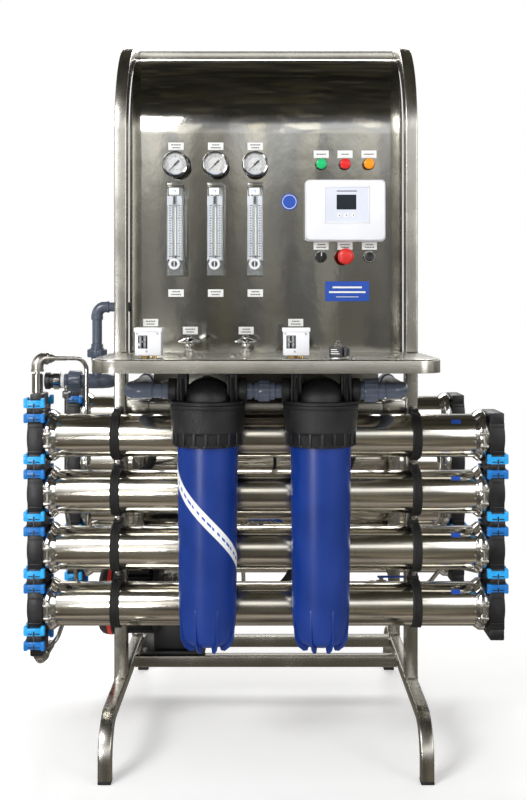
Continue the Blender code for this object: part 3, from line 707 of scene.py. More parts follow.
def add_filter(side):
    cap_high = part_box(f"filter_cap_{side}")[1]
    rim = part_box(f"lock_ring_{side}")[1].z
    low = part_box(f"filter_bowl_{side}")[0].z
    centre = middle(f"filter_bowl_{side}")
    axis = Vector((centre.x, centre.y, 0))
    port_reach, port_r = 0.089, 0.0285
    cap = Shape()
    top = rim + 0.008
    dome = [(0.0585 * cos(radians(a)), top + 0.0525 * sin(radians(a))) for a in range(0, 90, 6)]
    cap.lathe([(0, 0.886), (0.030, 0.880), (0.045, 0.862), (0.047, rim), (0.071, rim), (0.071, 0.800),
               (0.076, 0.800), (0.076, rim + 0.0004), (0.083, rim + 0.0004), (0.0845, rim + 0.0014),
               (0.0845, rim + 0.0030), (0.0836, rim + 0.0036), (0.0836, rim + 0.0046), (0.0845, rim + 0.0052),
               (0.0845, rim + 0.0066), (0.0828, rim + 0.0080), (0.062, rim + 0.0080)] + dome
              + [(0, top + 0.0525)], axis, sides=72)
    for turn, sign in ((TO_LEFT, -1), (TO_RIGHT, 1)):
        place = Vector((centre.x, centre.y, PORT_Z))
        cap.lathe([(0, 0.046), (port_r - 0.002, 0.046), (port_r - 0.002, 0.070), (port_r, 0.072),
                   (port_r, port_reach - 0.001), (port_r - 0.001, port_reach), (0.021, port_reach),
                   (0.021, port_reach - 0.004), (0, port_reach - 0.004)], place, turn, 48)
        x = centre.x + sign * 0.0565
        tip = cap_high.z - 0.0002
        for mid, half, reach, foot, head, bevel in (
                (x, 0.0100, 0.026, rim + 0.006, cap_high.z, 0.0015),
                (x - 0.0090, 0.0025, 0.030, rim + 0.0065, tip, 0.0014),
                (x + 0.0090, 0.0025, 0.030, rim + 0.0065, tip, 0.0014),
                (x, 0.0115, 0.030, cap_high.z - 0.008, tip, 0.0015)):
            cap.box((mid - half, centre.y - reach, foot), (mid + half, centre.y + reach, head), bevel)
        for out in (-1, 1):                       # webs from each column down to the flange
            web = [(0, 0), (0.034, 0), (0.022, 0.010), (0.004, 0.052), (0, 0.052)]
            place = Matrix.Translation((x, centre.y + out * 0.024, rim + 0.0075))
            place = place @ Matrix.Rotation(pi / 2 * out, 4, "Z") @ Matrix.Rotation(pi / 2, 4, "X")
            cap.prism(web, -0.0020, 0.0020, place, 0.0006, 1)
    for out in (-1, 1):                           # frame behind and in front of the dome's top
        cap.box((centre.x - 0.047, centre.y + out * 0.024 - 0.002, cap_high.z - 0.0245),
                (centre.x + 0.047, centre.y + out * 0.024 + 0.002, cap_high.z - 0.0195), 0.001)
    cap.lathe([(0, top + 0.046), (0.013, top + 0.046), (0.013, top + 0.0520), (0.0115, top + 0.0535),
               (0.0065, top + 0.0535), (0.0050, top + 0.0560), (0, top + 0.0560)], axis, sides=32)
    cap.finish(f"filter_cap_skin_{side}", CAP_BLACK, replaced=[f"filter_cap_{side}"])
    ring = Shape()
    ring.lathe([(0.0715, 0.750), (0.0755, 0.7492), (0.0770, 0.752), (0.0775, 0.775), (0.0795, 0.780),
                (0.0820, 0.783), (0.0855, rim - 0.014), (0.0858, rim - 0.012), (0.0845, rim - 0.010),
                (0.0858, rim - 0.008), (0.0860, rim - 0.001), (0.0852, rim), (0.077, rim),
                (0.077, 0.758), (0.0715, 0.756)], axis, sides=72)
    for place in around(Matrix.Translation(axis), 18, 0.5):
        ring.box((0.0762, -0.0032, 0.7495), (0.0808, 0.0032, 0.782), 0.0014, place)
        ring.box((0.0762, -0.0075, 0.7495), (0.0790, 0.0075, 0.755), 0.0014, place)
    ring.finish_moving(f"lock_ring_skin_{side}", CAP_BLACK, f"lock_ring_{side}")
    bowl = Shape()
    base = [(0.060 * sin(radians(a)), low + 0.006 + 0.030 * (1 - cos(radians(a)))) for a in range(9, 91, 9)]
    inner = [(0.0605, low + 0.060), (0.050, low + 0.024), (0, low + 0.014)]
    bowl.lathe([(0, low + 0.006)] + base + [
        (0.0640, low + 0.060), (0.0655, low + 0.085), (0.0690, 0.735), (0.0695, 0.7585),
        (0.0755, 0.7585), (0.0755, 0.768), (0.0695, 0.768), (0.0695, 0.842), (0.0640, 0.842)] + inner,
        axis, sides=72)
    fin = [(0.030, low + 0.010), (0.034, low), (0.044, low), (0.056, low + 0.010), (0.0645, low + 0.028),
           (0.0665, low + 0.060), (0.0668, low + 0.100), (0.060, low + 0.110), (0.050, low + 0.030)]
    for place in around(Matrix.Translation(axis), 8, 0.5):
        bowl.prism(fin, -0.0022, 0.0022, place @ TO_FRONT, 0.0006, 1)
    bowl.finish_moving(f"filter_bowl_skin_{side}", BOWL_BLUE, f"filter_bowl_{side}")
    if side == "left":
        add_band(axis)


# ---- pipes -------------------------------------------------------------------------------
def around(place, count, offset=0.0):
    """The turned frames of `count` things spread evenly round an axis."""
    for i in range(count):
        yield place @ Matrix.Rotation(2 * pi * (i + offset) / count, 4, "Z")


def ribbed_nut(shape, centre, axis, radius, length, ribs=14):
    """A hand nut with raised grips all round."""
    shape.lathe([(0, 0), (radius - 0.002, 0), (radius - 0.001, 0.002), (radius - 0.001, length - 0.002),
                 (radius - 0.003, length), (0, length)], centre, axis, 40)
    for turn in around(Matrix.Translation(centre) @ axis, ribs):
        shape.box((radius - 0.004, -0.0022, 0.001), (radius, 0.0022, length - 0.001), 0.001, turn)


def add_pipes():
    start_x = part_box("filter_inlet_pipe")[1].x
    inlet = Shape().pipe([at(start_x, FILTER_DEPTH, PORT_Z), at(-0.308, FILTER_DEPTH, PORT_Z),
                          at(-0.308, 0.150, PORT_Z)], 0.026, 0.017,
                         [(0, 0.012, 0.020), (0.012, 0.015, 0.0165), (0.034, 0.037, 0.0165),
                          (0.037, 0.110, 0.0195), (0.380, 0.420, 0.0200)], 32)
    inlet.finish("filter_inlet_pipe_skin", GREY_PVC, replaced=["filter_inlet_pipe"])
    start_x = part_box("filter_outlet_pipe")[0].x
    outlet = Shape().pipe([at(start_x, FILTER_DEPTH, PORT_Z), at(0.311, FILTER_DEPTH, PORT_Z),
                           at(0.311, 0.150, PORT_Z)], 0.026, 0.017,
                          [(0, 0.009, 0.021), (0.009, 0.040, 0.0235), (0.040, 0.056, 0.020),
                           (0.060, 0.130, 0.0185), (0.380, 0.420, 0.0200)], 32)
    ribbed_nut(outlet, at(start_x + 0.009, FILTER_DEPTH, PORT_Z), TO_RIGHT, 0.0265, 0.031)
    outlet.finish("filter_outlet_pipe_skin", GREY_PVC, replaced=["filter_outlet_pipe"])
    low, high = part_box("filter_link_pipe")
    link = Shape().pipe([at(low.x, FILTER_DEPTH, PORT_Z), at(high.x, FILTER_DEPTH, PORT_Z)], 0, 0.017,
                        [(0, 0.012, 0.020), (0.018, 0.027, 0.021), (0.027, 0.053, 0.023),
                         (0.053, 0.064, 0.021)], 32)
    ribbed_nut(link, at(low.x + 0.027, FILTER_DEPTH, PORT_Z), TO_RIGHT, 0.0248, 0.026)
    link.finish("filter_link_pipe_skin", GREY_PVC, replaced=["filter_link_pipe"])
    run_d, run_z = 0.080, 0.876
    feed = Shape().pipe([at(-0.560, run_d, run_z), at(-0.401, run_d, run_z), at(-0.401, 0.340, run_z)],
                        0.028, 0.017, [(0.022, 0.058, 0.0190), (0.060, 0.092, 0.0240),
                                       (0.104, 0.200, 0.0195), (0.380, 0.403, 0.0195)], 32)
    ribbed_nut(feed, at(-0.500, run_d, run_z), TO_RIGHT, 0.0262, 0.032)
    feed.pipe([at(-0.429, run_d, run_z), at(-0.429, run_d, 1.064), at(-0.240, run_d, 1.064)], 0.022,
              0.0123, [(0.052, 0.060, 0.0150), (0.060, 0.085, 0.0165), (0.085, 0.094, 0.0150),
                       (0.155, 0.168, 0.0150), (0.168, 0.203, 0.0143), (0.203, 0.2095, 0.0150)], 28)
    ribbed_nut(feed, at(-0.429, run_d, run_z + 0.060), Z_UP, 0.0250, 0.021, 12)
    feed.finish("feed_pipe_skin", GREY_PVC, replaced=["feed_pipe"])
    ends = Shape()
    ends.rod(0.0185, -0.0005, 0.021, at(-0.560, run_d, run_z), TO_RIGHT, 32)
    ends.lathe([(0.0185, 0), (0.0215, 0.001), (0.0215, 0.012), (0.0185, 0.013)],
               at(-0.560, run_d, run_z), TO_RIGHT, 32)
    ends.finish("feed_inlet_adapter", BLACK)
    ring = Shape().lathe([(0.0185, 0), (0.0220, 0.0005), (0.0220, 0.0155), (0.0185, 0.016)],
                         at(-0.538, run_d, run_z), TO_RIGHT, 32)
    ring.finish("feed_steel_ring", CHROME)
    Shape().lathe([(0.0188, 0), (0.0192, 0.0003), (0.0192, 0.0080), (0.0188, 0.0083)],
                  at(-0.519, run_d, run_z), TO_RIGHT, 32).finish("feed_pipe_sticker", LABEL)
    column = -0.062
    corner, goal = at(-0.551, column, 0.940), at(-0.444, 0.006, 0.937)
    steel = Shape().pipe([at(-0.551, column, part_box("manifold_front_left")[1].z), corner, goal,
                          at(-0.444, 0.006, 0.600)],
                         [0.018, 0.030], 0.0055,
                         [(0, 0.046, 0.0132)], 32, 10)
    steel.finish("manifold_feed_pipe_skin", PIPE_STEEL, replaced=["manifold_feed_pipe"])
    onward = (goal - corner).normalized()
    elbow = Shape().pipe([corner - Vector((0, 0, 0.032)), corner, corner + onward * 0.072],
                         0.018, 0.0059, [(0, 0.006, 0.0154), (0.006, 0.044, 0.0142), (0.044, 0.050, 0.0154),
                                         (0.050, 0.060, 0.0120), (0.060, 0.066, 0.0088)], 32, 10)
    elbow.finish("manifold_feed_elbow", SATIN)


# ---- fine tubes and fittings behind the housings -------------------------------------------
def add_tubes(shape, radius, sides, routes):
    """Plain tubes, each with its corners as (x, depth, z) and the radius of each bend."""
    for corners, bends in routes:
        shape.pipe([at(*corner) for corner in corners], bends, radius, sides=sides)


def add_fine_tubes():
    """Small-bore tubes, elbows and valves that join the manifolds to the pump."""
    tubes = Shape()
    add_tubes(tubes, 0.0055, 16, (
        (((-0.496, 0.020, 0.868), (-0.496, 0.020, 0.560), (-0.470, 0.020, 0.380), (-0.520, 0.020, 0.235),
          (-0.546, -0.020, 0.222)), (0.05, 0.06, 0.03)),
        (((-0.444, 0.006, 0.602), (-0.444, 0.030, 0.470), (-0.425, 0.120, 0.420), (-0.060, 0.150, 0.400),
          (-0.060, 0.255, 0.300), (-0.1408, 0.255, 0.300)), (0.04, 0.04, 0.05, 0.04, 0.03)),
        (((0.5275, 0.465, 0.6865), (0.450, 0.465, 0.6865), (0.450, 0.140, 0.6865), (0.450, 0.140, 0.488),
          (-0.007, 0.140, 0.488)), (0.05, 0.05, 0.04)),
        (((-0.065, 0.140, 0.488), (-0.120, 0.140, 0.488), (-0.120, 0.200, 0.255), (-0.1408, 0.255, 0.255)),
         (0.04, 0.04)),
        (((0.5275, -0.030, 0.4165), (0.450, 0.060, 0.4165), (0.420, 0.150, 0.338), (0.329, 0.150, 0.338)),
         (0.04, 0.04)),
        (((0.271, 0.150, 0.338), (0.225, 0.150, 0.338), (0.225, 0.150, 0.285), (0.080, 0.255, 0.250),
          (-0.1408, 0.255, 0.270)), (0.02, 0.03, 0.05)),
    ))
    tubes.pipe([at(-0.546, -0.062, 0.2305), at(-0.546, -0.062, 0.212), at(-0.546, 0.060, 0.212)], 0.018,
               0.0125, [(0, 0.010, 0.0150), (0.045, 0.060, 0.0150)], 28)
    tubes.finish("fine_steel_tubes", PIPE_STEEL)
    nuts = Shape()
    for z in (0.846, 0.560):
        nuts.lathe([(0, -0.009), (0.0085, -0.009), (0.0105, -0.006), (0.0105, 0.006), (0.0085, 0.009),
                    (0, 0.009)], at(-0.496, 0.020, z), Z_UP, 6)
    nuts.finish("compression_nuts", CHROME)
    levers, valves = Shape(), Shape()
    for place in (at(-0.036, 0.140, 0.488), at(0.300, 0.150, 0.338)):
        axis = Matrix.Translation(place)
        valves.lathe([(0, -0.030), (0.011, -0.030), (0.011, -0.014), (0.0145, -0.012), (0.0145, 0.012),
                      (0.011, 0.014), (0.011, 0.030), (0, 0.030)], place, TO_RIGHT, 24)
        for end in (-0.024, 0.024):
            valves.rod(0.0135, end - 0.006, end + 0.006, place, TO_RIGHT, 6)
        valves.rod(0.006, 0, 0.022, place, Z_UP, 16)
        levers.box((-0.010, -0.006, 0.021), (0.075, 0.006, 0.025), 0.0015, axis)
        levers.box((0.060, -0.006, 0.017), (0.078, 0.006, 0.025), 0.002, axis)
    valves.finish("ball_valve_bodies", SATIN)
    levers.finish("ball_valve_levers", PLATE_BLUE)
    hoses = Shape()
    add_tubes(hoses, 0.0115, 20, (
        (((0.311, 0.150, 0.873), (0.311, 0.240, 0.873), (0.200, 0.300, 0.560), (0.040, 0.300, 0.285),
          (-0.1408, 0.262, 0.285)), (0.05, 0.08, 0.08, 0.05)),
        (((-0.308, 0.150, 0.873), (-0.308, 0.235, 0.873), (-0.308, 0.300, 0.640), (-0.460, 0.440, 0.4865),
          (-0.5275, 0.465, 0.4865)), (0.05, 0.08, 0.08)),
        (((-0.241, 0.080, 1.064), (-0.196, 0.080, 1.064), (-0.196, 0.130, 0.700), (-0.200, 0.242, 0.560)),
         (0.03, 0.06)),
    ))
    add_tubes(hoses, 0.0045, 12, (            # cables
        (((0.023, 0.120, 0.703), (0.023, 0.125, 0.640), (-0.180, 0.200, 0.470), (-0.355, 0.255, 0.400)),
         (0.04, 0.05)),
        (((0.057, 0.120, 0.720), (0.150, 0.124, 0.690), (0.318, 0.145, 0.690), (0.318, 0.130, 0.713)),
         (0.04, 0.015)),
    ))
    hoses.finish("black_hoses", RUBBER)
    clamps = Shape()
    for place, axis in ((at(0.311, 0.168, 0.873), TO_FRONT), (at(-0.308, 0.168, 0.873), TO_FRONT),
                        (at(-0.128, 0.262, 0.285), TO_RIGHT), (at(-0.512, 0.461, 0.4865), TO_RIGHT),
                        (at(-0.222, 0.080, 1.064), TO_RIGHT)):
        clamps.ring(0.0113, 0.0128, -0.0045, 0.0045, place, axis, 32)
        clamps.block(place + Vector((0, 0, 0.0150)), (0.007, 0.009, 0.007), 0.001)
    clamps.finish("hose_clamps", CHROME)
    box = Shape().block(at(0.023, 0.120, 0.720), (0.066, 0.040, 0.030), 0.004)
    box.block(at(0.023, 0.120, 0.7365), (0.070, 0.044, 0.005), 0.002)
    box.finish("rear_junction_box", WHITE)
    hangers = Shape()
    for x, low in ((0.023, 0.738), (0.318, 0.700)):
        hangers.box(at(x - 0.010, 0.0405, low + 0.001), at(x + 0.010, 0.0430, 0.8100), 0.0006)
        hangers.box(at(x - 0.010, 0.0405, low - 0.001), at(x + 0.010, 0.1370, low + 0.0015), 0.0006)
        hangers.bolt(at(x, 0.0430, 0.7950), 0.005, 0.004, TO_FRONT)
    hangers.finish("rear_hangers", SATIN)
    place = at(0.318, 0.110, 0.724)
    plug = Shape().lathe([(0, -0.020), (0.019, -0.020), (0.019, 0), (0.024, 0.002), (0.024, 0.008),
                          (0.019, 0.012), (0.019, 0.020), (0, 0.020)], place, TO_FRONT, 32)
    plug.ring(0.010, 0.013, 0.019, 0.022, place, TO_FRONT, 32)
    plug.finish("rear_round_connector", RED)


def add_under_shelf():
    """Backing plate, brackets and cables in the space between the shelf and the middle crossbar; the plate is
    a darker, shaded copy of the steel, painted shade under the shelf.
    """
    # The plate's darker steel is painted shade under the shelf.
    plate = Shape().box(at(-0.284, 0.0655, 0.806), at(0.284, 0.0675, 0.925), 0.0006)
    plate.box(at(-0.284, 0.0500, 0.8120), at(0.284, 0.0675, 0.8145), 0.0006)
    for x in (-0.262, -0.131, 0, 0.131, 0.262):
        plate.bolt(at(x, 0.0655, 0.832), 0.005, 0.004, TO_FRONT)
    plate.finish("shaded_splash_plate", SHADED_STEEL)
    brackets = Shape()
    for sign in (-1, 1):
        x0, x1 = sorted((sign * 0.2900, sign * 0.3442))
        brackets.box(at(x0, 0.0035, 0.7965), at(x1, 0.0065, 0.8320), 0.001)
        brackets.box(at(x0, 0.0035, 0.8295), at(x1, 0.0450, 0.8320), 0.001)
        brackets.bolt(at(sign * 0.304, 0.0035, 0.8140), 0.006, 0.0045, TO_FRONT)
    brackets.finish("crossbar_brackets", BRUSHED_X)
    cables = Shape()
    for i in range(7):
        depth = -0.010 + 0.009 * (i % 4)
        z = 0.938 - 0.0065 * (i % 3)
        sag = 0.006 + 0.004 * ((i * 5) % 4)
        left, right = -0.335 + 0.03 * (i % 3), 0.335 - 0.04 * (i % 2)
        route = []
        for k in range(17):
            t = k / 16
            drop = sag * (1 - cos(2 * pi * (2 + i % 2) * t)) / 2
            route.append(at(left + (right - left) * t, depth + 0.004 * sin(5 * t + i), z - drop))
        cables.sweep(route, circle(0.0036 if i % 2 else 0.0028, 10))
    for x in (-0.245, -0.005, 0.225):
        cables.box(at(x - 0.003, -0.018, 0.9195), at(x + 0.003, 0.026, 0.9462), 0.001)
    cables.finish("cable_loom", RUBBER)


INSTRUMENT_X, GAUGE_Z = (-0.227, -0.127, -0.027), 1.421
SWITCH_X, SWITCH_Z, LAMP_Z = (0.139, 0.1995, 0.261), 1.190, 1.424


def add_panel_back():
    """What the panel hides: gauge and meter tails, contact blocks, and the thin tubes that serve them."""
    tails, blocks, lines = Shape(), Shape(), Shape()
    for i in (1, 2, 3):
        x = middle(f"gauge_case_{i}").x
        for z, sides in ((GAUGE_Z, 6), (1.190, 20), (1.330, 20)):
            tails.lathe([(0, 0), (0.008, 0), (0.008, 0.010), (0.0105, 0.011), (0.0105, 0.022), (0.006, 0.024),
                         (0.006, 0.030), (0, 0.030)], at(x, 0.0655, z), TO_FRONT @ TO_FLOOR, sides)
        lines.pipe([at(x, 0.094, GAUGE_Z), at(x + 0.004, 0.112, 1.405), at(x + 0.010, 0.100, 1.15),
                    at(x * 0.9, 0.095, 0.965)], [0.010, 0.05], 0.0032, sides=12)
    for x in SWITCH_X:
        for z in (SWITCH_Z, LAMP_Z):
            blocks.block(at(x, 0.0855, z), (0.028, 0.036, 0.030), 0.002)
            blocks.block(at(x, 0.107, z), (0.022, 0.008, 0.024), 0.0015)
    blocks.block(at(0.199, 0.078, 1.305), (0.150, 0.022, 0.110), 0.003)
    blocks.finish("contact_blocks", BLACK)
    tails.finish("instrument_tails", BRASS)
    duct = Shape().block(at(0.075, 0.076, 1.20), (0.030, 0.020, 0.460), 0.002)
    for i in range(22):
        duct.block(at(0.075, 0.0868, 0.985 + i * 0.0205), (0.031, 0.0015, 0.004), 0)
    duct.finish("wiring_duct", WHITE)
    for i, x in enumerate(SWITCH_X):
        lines.pipe([at(x, 0.110, SWITCH_Z), at(x, 0.122, 1.165 - 0.01 * i), at(0.095, 0.100, 1.10 - 0.03 * i),
                    at(0.082, 0.090, 1.09 - 0.03 * i)], [0.012, 0.02], 0.0030, sides=10)
    lines.finish("signal_lines", BLACK)


# ---- instruments and controls --------------------------------------------------------------
PANEL_FACE = 0.062


def marks(shape, x, z, width, depth, rows=2, row_pitch=0.007, seed=0):
    """Plain bars where a printed label would have its words."""
    for row in range(rows):
        spread = width * (0.66 - 0.14 * ((row + seed) % 2))
        top = z + (rows - 1) * row_pitch / 2 - row * row_pitch
        count = 4 + (row + seed) % 3
        for i in range(count):
            size = spread / count * (0.84 - 0.14 * ((i + seed) % 2))
            shape.block(at(x - spread / 2 + (i + 0.5) * spread / count, depth, top), (size, 0.0006, 0.0026))


def add_labels():
    plates, words = Shape(), Shape()
    spots = [(x, z, 0.039) for z in (1.469, 1.0985) for x in INSTRUMENT_X]
    spots += [(x, 1.449, 0.038) for x in (0.1395, 0.1995, 0.2600)]
    spots += [(x, 1.2175, 0.038) for x in SWITCH_X]
    spots += [(-0.291, 1.024, 0.038), (0.075, 1.024, 0.038), (-0.191, 1.004, 0.038), (-0.050, 1.004, 0.038)]
    for i, (x, z, width) in enumerate(spots):
        plates.block(at(x, PANEL_FACE - 0.0006, z), (width, 0.001, 0.019), 0.0004, steps=1)
        marks(words, x, z, width, PANEL_FACE - 0.0012, 1 if 5 < i < 9 else 2, seed=i)
    plates.finish("label_plates", LABEL)
    words.finish("label_marks", INK)
    plate = Shape().block(at(0.205, PANEL_FACE - 0.0008, 1.103), (0.111, 0.0014, 0.050), 0.0005, steps=1)
    sticker_at = at(0.059, PANEL_FACE, 1.329)
    plate.rod(0.021, 0, 0.0008, sticker_at, TO_FRONT, 48)
    plate.finish("blue_plates", PLATE_BLUE)
    trim = Shape()
    for width, thick, z in ((0.074, 0.0045, 1.113), (0.092, 0.0045, 1.101), (0.056, 0.0015, 1.089)):
        trim.block(at(0.205, PANEL_FACE - 0.0016, z), (width, 0.0006, thick))
    trim.ring(0.0165, 0.0178, 0.0007, 0.0011, sticker_at, TO_FRONT, 48)
    trim.finish("blue_plate_marks", LABEL)


def add_gauge(index):
    low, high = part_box(f"gauge_case_{index}")
    centre = Vector(((low.x + high.x) / 2, high.y, (low.z + high.z) / 2))
    radius = (high.x - low.x) / 2
    case = Shape().lathe([
        (0, 0), (0.028, 0), (0.0295, 0.002), (0.0295, 0.016), (0.0310, 0.018), (radius - 0.0006, 0.0195),
        (radius, 0.0210), (radius, 0.0260), (radius - 0.0010, 0.0290), (radius - 0.0028, 0.0308),
        (0.0280, 0.0300), (0.0268, 0.0280), (0.0268, 0.0190), (0, 0.0190)], centre, TO_FRONT, 72)
    for turn in around(Matrix.Translation(centre) @ TO_FRONT, 28):
        case.box((0.0300, -0.0009, 0.0185), (radius - 0.0001, 0.0009, 0.0215), 0.0004, turn, 1)
    case.finish(f"gauge_bezel_{index}", BEZEL, replaced=[f"gauge_case_{index}"])
    dial = Shape().rod(0.0267, 0.0190, 0.0200, centre, TO_FRONT, 56)
    dial.finish(f"gauge_dial_{index}", LABEL)
    ticks = Shape()
    for i in range(31):
        long = i % 5 == 0
        angle = radians(225 - 9 * i)
        turn = Matrix.Translation(centre) @ TO_FRONT @ Matrix.Rotation(angle, 4, "Z")
        ticks.box((0.0168 if long else 0.0185, -0.0004, 0.0200), (0.0206, 0.0004, 0.0203), 0, turn)
        if i % 3 == 0:
            ticks.box((0.0224, -0.0009, 0.0200), (0.0236, 0.0009, 0.0203), 0, turn)
    for x in (-0.0035, 0.0035):
        ticks.rod(0.0009, 0.0200, 0.0204, centre + Vector((x, 0, -0.0125)), TO_FRONT, 12)
    ticks.finish(f"gauge_scale_{index}", INK)
    sweep = arc((0, 0), 0.0262, 230, 310, 20) + list(reversed(arc((0, 0), 0.0246, 230, 310, 20)))
    Shape().prism(sweep, 0.0200, 0.0203, Matrix.Translation(centre) @ TO_FRONT).finish(
        f"gauge_arc_{index}", CLIP_BLUE)
    pin = Vector((centre.x, middle(f"gauge_needle_{index}").y, centre.z))
    turn = Matrix.Translation(pin) @ TO_FRONT @ Matrix.Rotation(radians(135), 4, "Z")
    needle = Shape().prism([(-0.0005, 0.0225), (-0.0012, 0.004), (-0.0012, -0.004), (-0.0023, -0.005),
                            (-0.0023, -0.0135), (0.0023, -0.0135), (0.0023, -0.005), (0.0012, -0.004),
                            (0.0012, 0.004), (0.0005, 0.0225)], -0.0004, 0.0004, turn)
    needle.lathe([(0, -0.0008), (0.0028, -0.0008), (0.0028, 0.0006), (0.0018, 0.0012), (0, 0.0013)], pin,
                 TO_FRONT, 24)
    needle.finish_moving(f"gauge_pointer_{index}", INK, f"gauge_needle_{index}")
    glass = Shape().lathe([(0, 0.0270), (0.0267, 0.0270), (0.0267, 0.0284), (0.020, 0.0287), (0, 0.0288)],
                          centre, TO_FRONT, 48)
    glass.finish(f"gauge_glass_{index}", GLASS)


def add_flow_meter(index):
    low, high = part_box(f"flow_meter_{index}")
    centre = (low + high) / 2
    half = (high.x - low.x) / 2
    block = Shape()
    made = bmesh.new()
    corners = rounded_rectangle(2 * half, 2 * half, 0.004, 7)
    outer = []
    for a, b in zip(corners, corners[1:] + corners[:1]):
        steps = max(1, round((Vector(b) - Vector(a)).length / 0.003))
        outer += [tuple(Vector(a).lerp(Vector(b), i / steps)) for i in range(steps)]
    floor = low.z + 0.026
    rings = []
    top = [(x * 0.94, y * 0.94) for x, y in outer]
    bores = []
    for radius in (0.0105, 0.0072):               # a round bore that narrows towards its floor
        bores.append([(x / (x * x + y * y) ** 0.5 * radius, y / (x * x + y * y) ** 0.5 * radius)
                      for x, y in outer])
    for points, z in ((outer, low.z), (outer, high.z - 0.002), (top, high.z), (bores[0], high.z),
                      (bores[1], floor)):
        rings.append([made.verts.new((centre.x + x, centre.y + y, z)) for x, y in points])
    for lower, upper in zip(rings, rings[1:]):
        for i in range(len(outer)):
            j = (i + 1) % len(outer)
            made.faces.new((lower[i], lower[j], upper[j], upper[i]))
    made.faces.new(rings[0])
    made.faces.new(rings[-1])
    block._add(made, Z_UP)
    block.finish(f"flow_meter_block_{index}", CLEAR, replaced=[f"flow_meter_{index}"])
    front = low.y

    def plate(shape, left, right, foot, head, proud=0.0006, deep=0.0, bevel=0.0):
        """A thin plate on the front, with its left and right edges measured from the middle."""
        shape.box((centre.x + left, front - proud, foot), (centre.x + right, front + deep, head), bevel)

    back = Shape().block((centre.x, high.y - 0.0022, centre.z + 0.012), (0.030, 0.0014, 0.180), 0.0004)
    label_at = (centre.x - 0.002, front - 0.0003, high.z - 0.0225)
    back.block(label_at, (0.025, 0.0006, 0.017), 0.0002, steps=1)
    # A thin white strip down the front, just right of the middle: a painted highlight on the clear block.
    plate(back, 0.0002, 0.0026, low.z + 0.050, high.z - 0.062, 0.0003)
    back.finish(f"flow_meter_backing_and_highlight_{index}", LABEL)
    outline = arc((0, 0), 0.0036, 20, 250, 10) + list(reversed(arc((0, 0), 0.0022, 20, 250, 10)))
    place = Matrix.Translation((centre.x - 0.001, front - 0.0005, high.z - 0.0225)) @ TO_FRONT
    band = Shape().prism(outline, 0, 0.0004, place)
    band.finish(f"flow_meter_band_{index}", CLIP_LIGHT)
    sheet = Shape()
    for left, right in ((0.0008 - half, -0.0050), (0.0062, half - 0.0026)):
        plate(sheet, left, right, low.z + 0.040, high.z - 0.034, 0.0002, 0.0003)
    sheet.finish(f"flow_meter_sheet_{index}", FROST)
    scale = Shape()
    for i in range(21):
        wide = 0.0062 if i % 5 == 0 else 0.0038
        for side in (-1, 1):
            x = centre.x + side * (0.0135 - wide / 2)
            scale.block((x, front - 0.0005, low.z + 0.048 + i * 0.0063), (wide, 0.0005, 0.0019))
    for x in (-0.0180, -0.0062, 0.0056, 0.0158):
        plate(scale, x - 0.0003, x + 0.0003, low.z + 0.044, high.z - 0.058)
    plate(scale, -0.0030, 0.0016, high.z - 0.054, high.z - 0.035, bevel=0.0008)
    for x in (-0.0125, -0.0045, 0.0045, 0.0105):
        plate(scale, x - 0.0016, x + 0.0016, low.z + 0.0462, low.z + 0.0492)
    scale.finish(f"flow_meter_scale_{index}", INK)
    # The head takes the darker, shaded copy of the steel: painted shade.
    trim = Shape().box((low.x + 0.0002, front - 0.0004, high.z - 0.0135),
                       (high.x - 0.0002, high.y - 0.0004, high.z - 0.0002), 0.0035)
    plate(trim, -0.0085, -0.0045, high.z - 0.0120, high.z - 0.0030, 0.0008, bevel=0.0005)
    trim.finish(f"flow_meter_head_{index}", SHADED_STEEL)
    plug_at = Vector((centre.x - 0.001, front, low.z + 0.0285))
    plug = Shape().lathe([(0, -0.004), (0.0150, -0.004), (0.0150, 0.0045), (0.0132, 0.0060), (0.0086, 0.0060),
                          (0.0080, 0.0042), (0, 0.0042)], plug_at, TO_FRONT, 8)
    plug.lathe([(0.0095, 0.004), (0.0132, 0.004), (0.0128, 0.0070), (0.0100, 0.0070)], plug_at, TO_FRONT, 32)
    plug.block(plug_at + Vector((0, -0.0052, 0)), (0.0022, 0.003, 0.0150), 0.0006)
    plug.finish(f"flow_meter_plug_{index}", WHITE)
    slot = Shape().rod(0.0080, 0.0040, 0.0046, plug_at, TO_FRONT, 24)
    slot.finish(f"flow_meter_plug_core_{index}", INK)
    low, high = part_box(f"flow_float_{index}")
    axis = Vector((centre.x, centre.y, 0))
    float_shape = Shape().lathe([
        (0, low.z), (0.0022, low.z + 0.0004), (0.0030, low.z + 0.003), (0.0062, low.z + 0.0095),
        (0.0065, low.z + 0.0105), (0.0065, low.z + 0.0135), (0.0058, low.z + 0.0145),
        (0.0030, low.z + 0.0155), (0.0026, high.z - 0.001), (0.0018, high.z), (0, high.z)], axis, Z_UP, 32)
    float_shape.finish_moving(f"flow_float_skin_{index}", INK, f"flow_float_{index}")


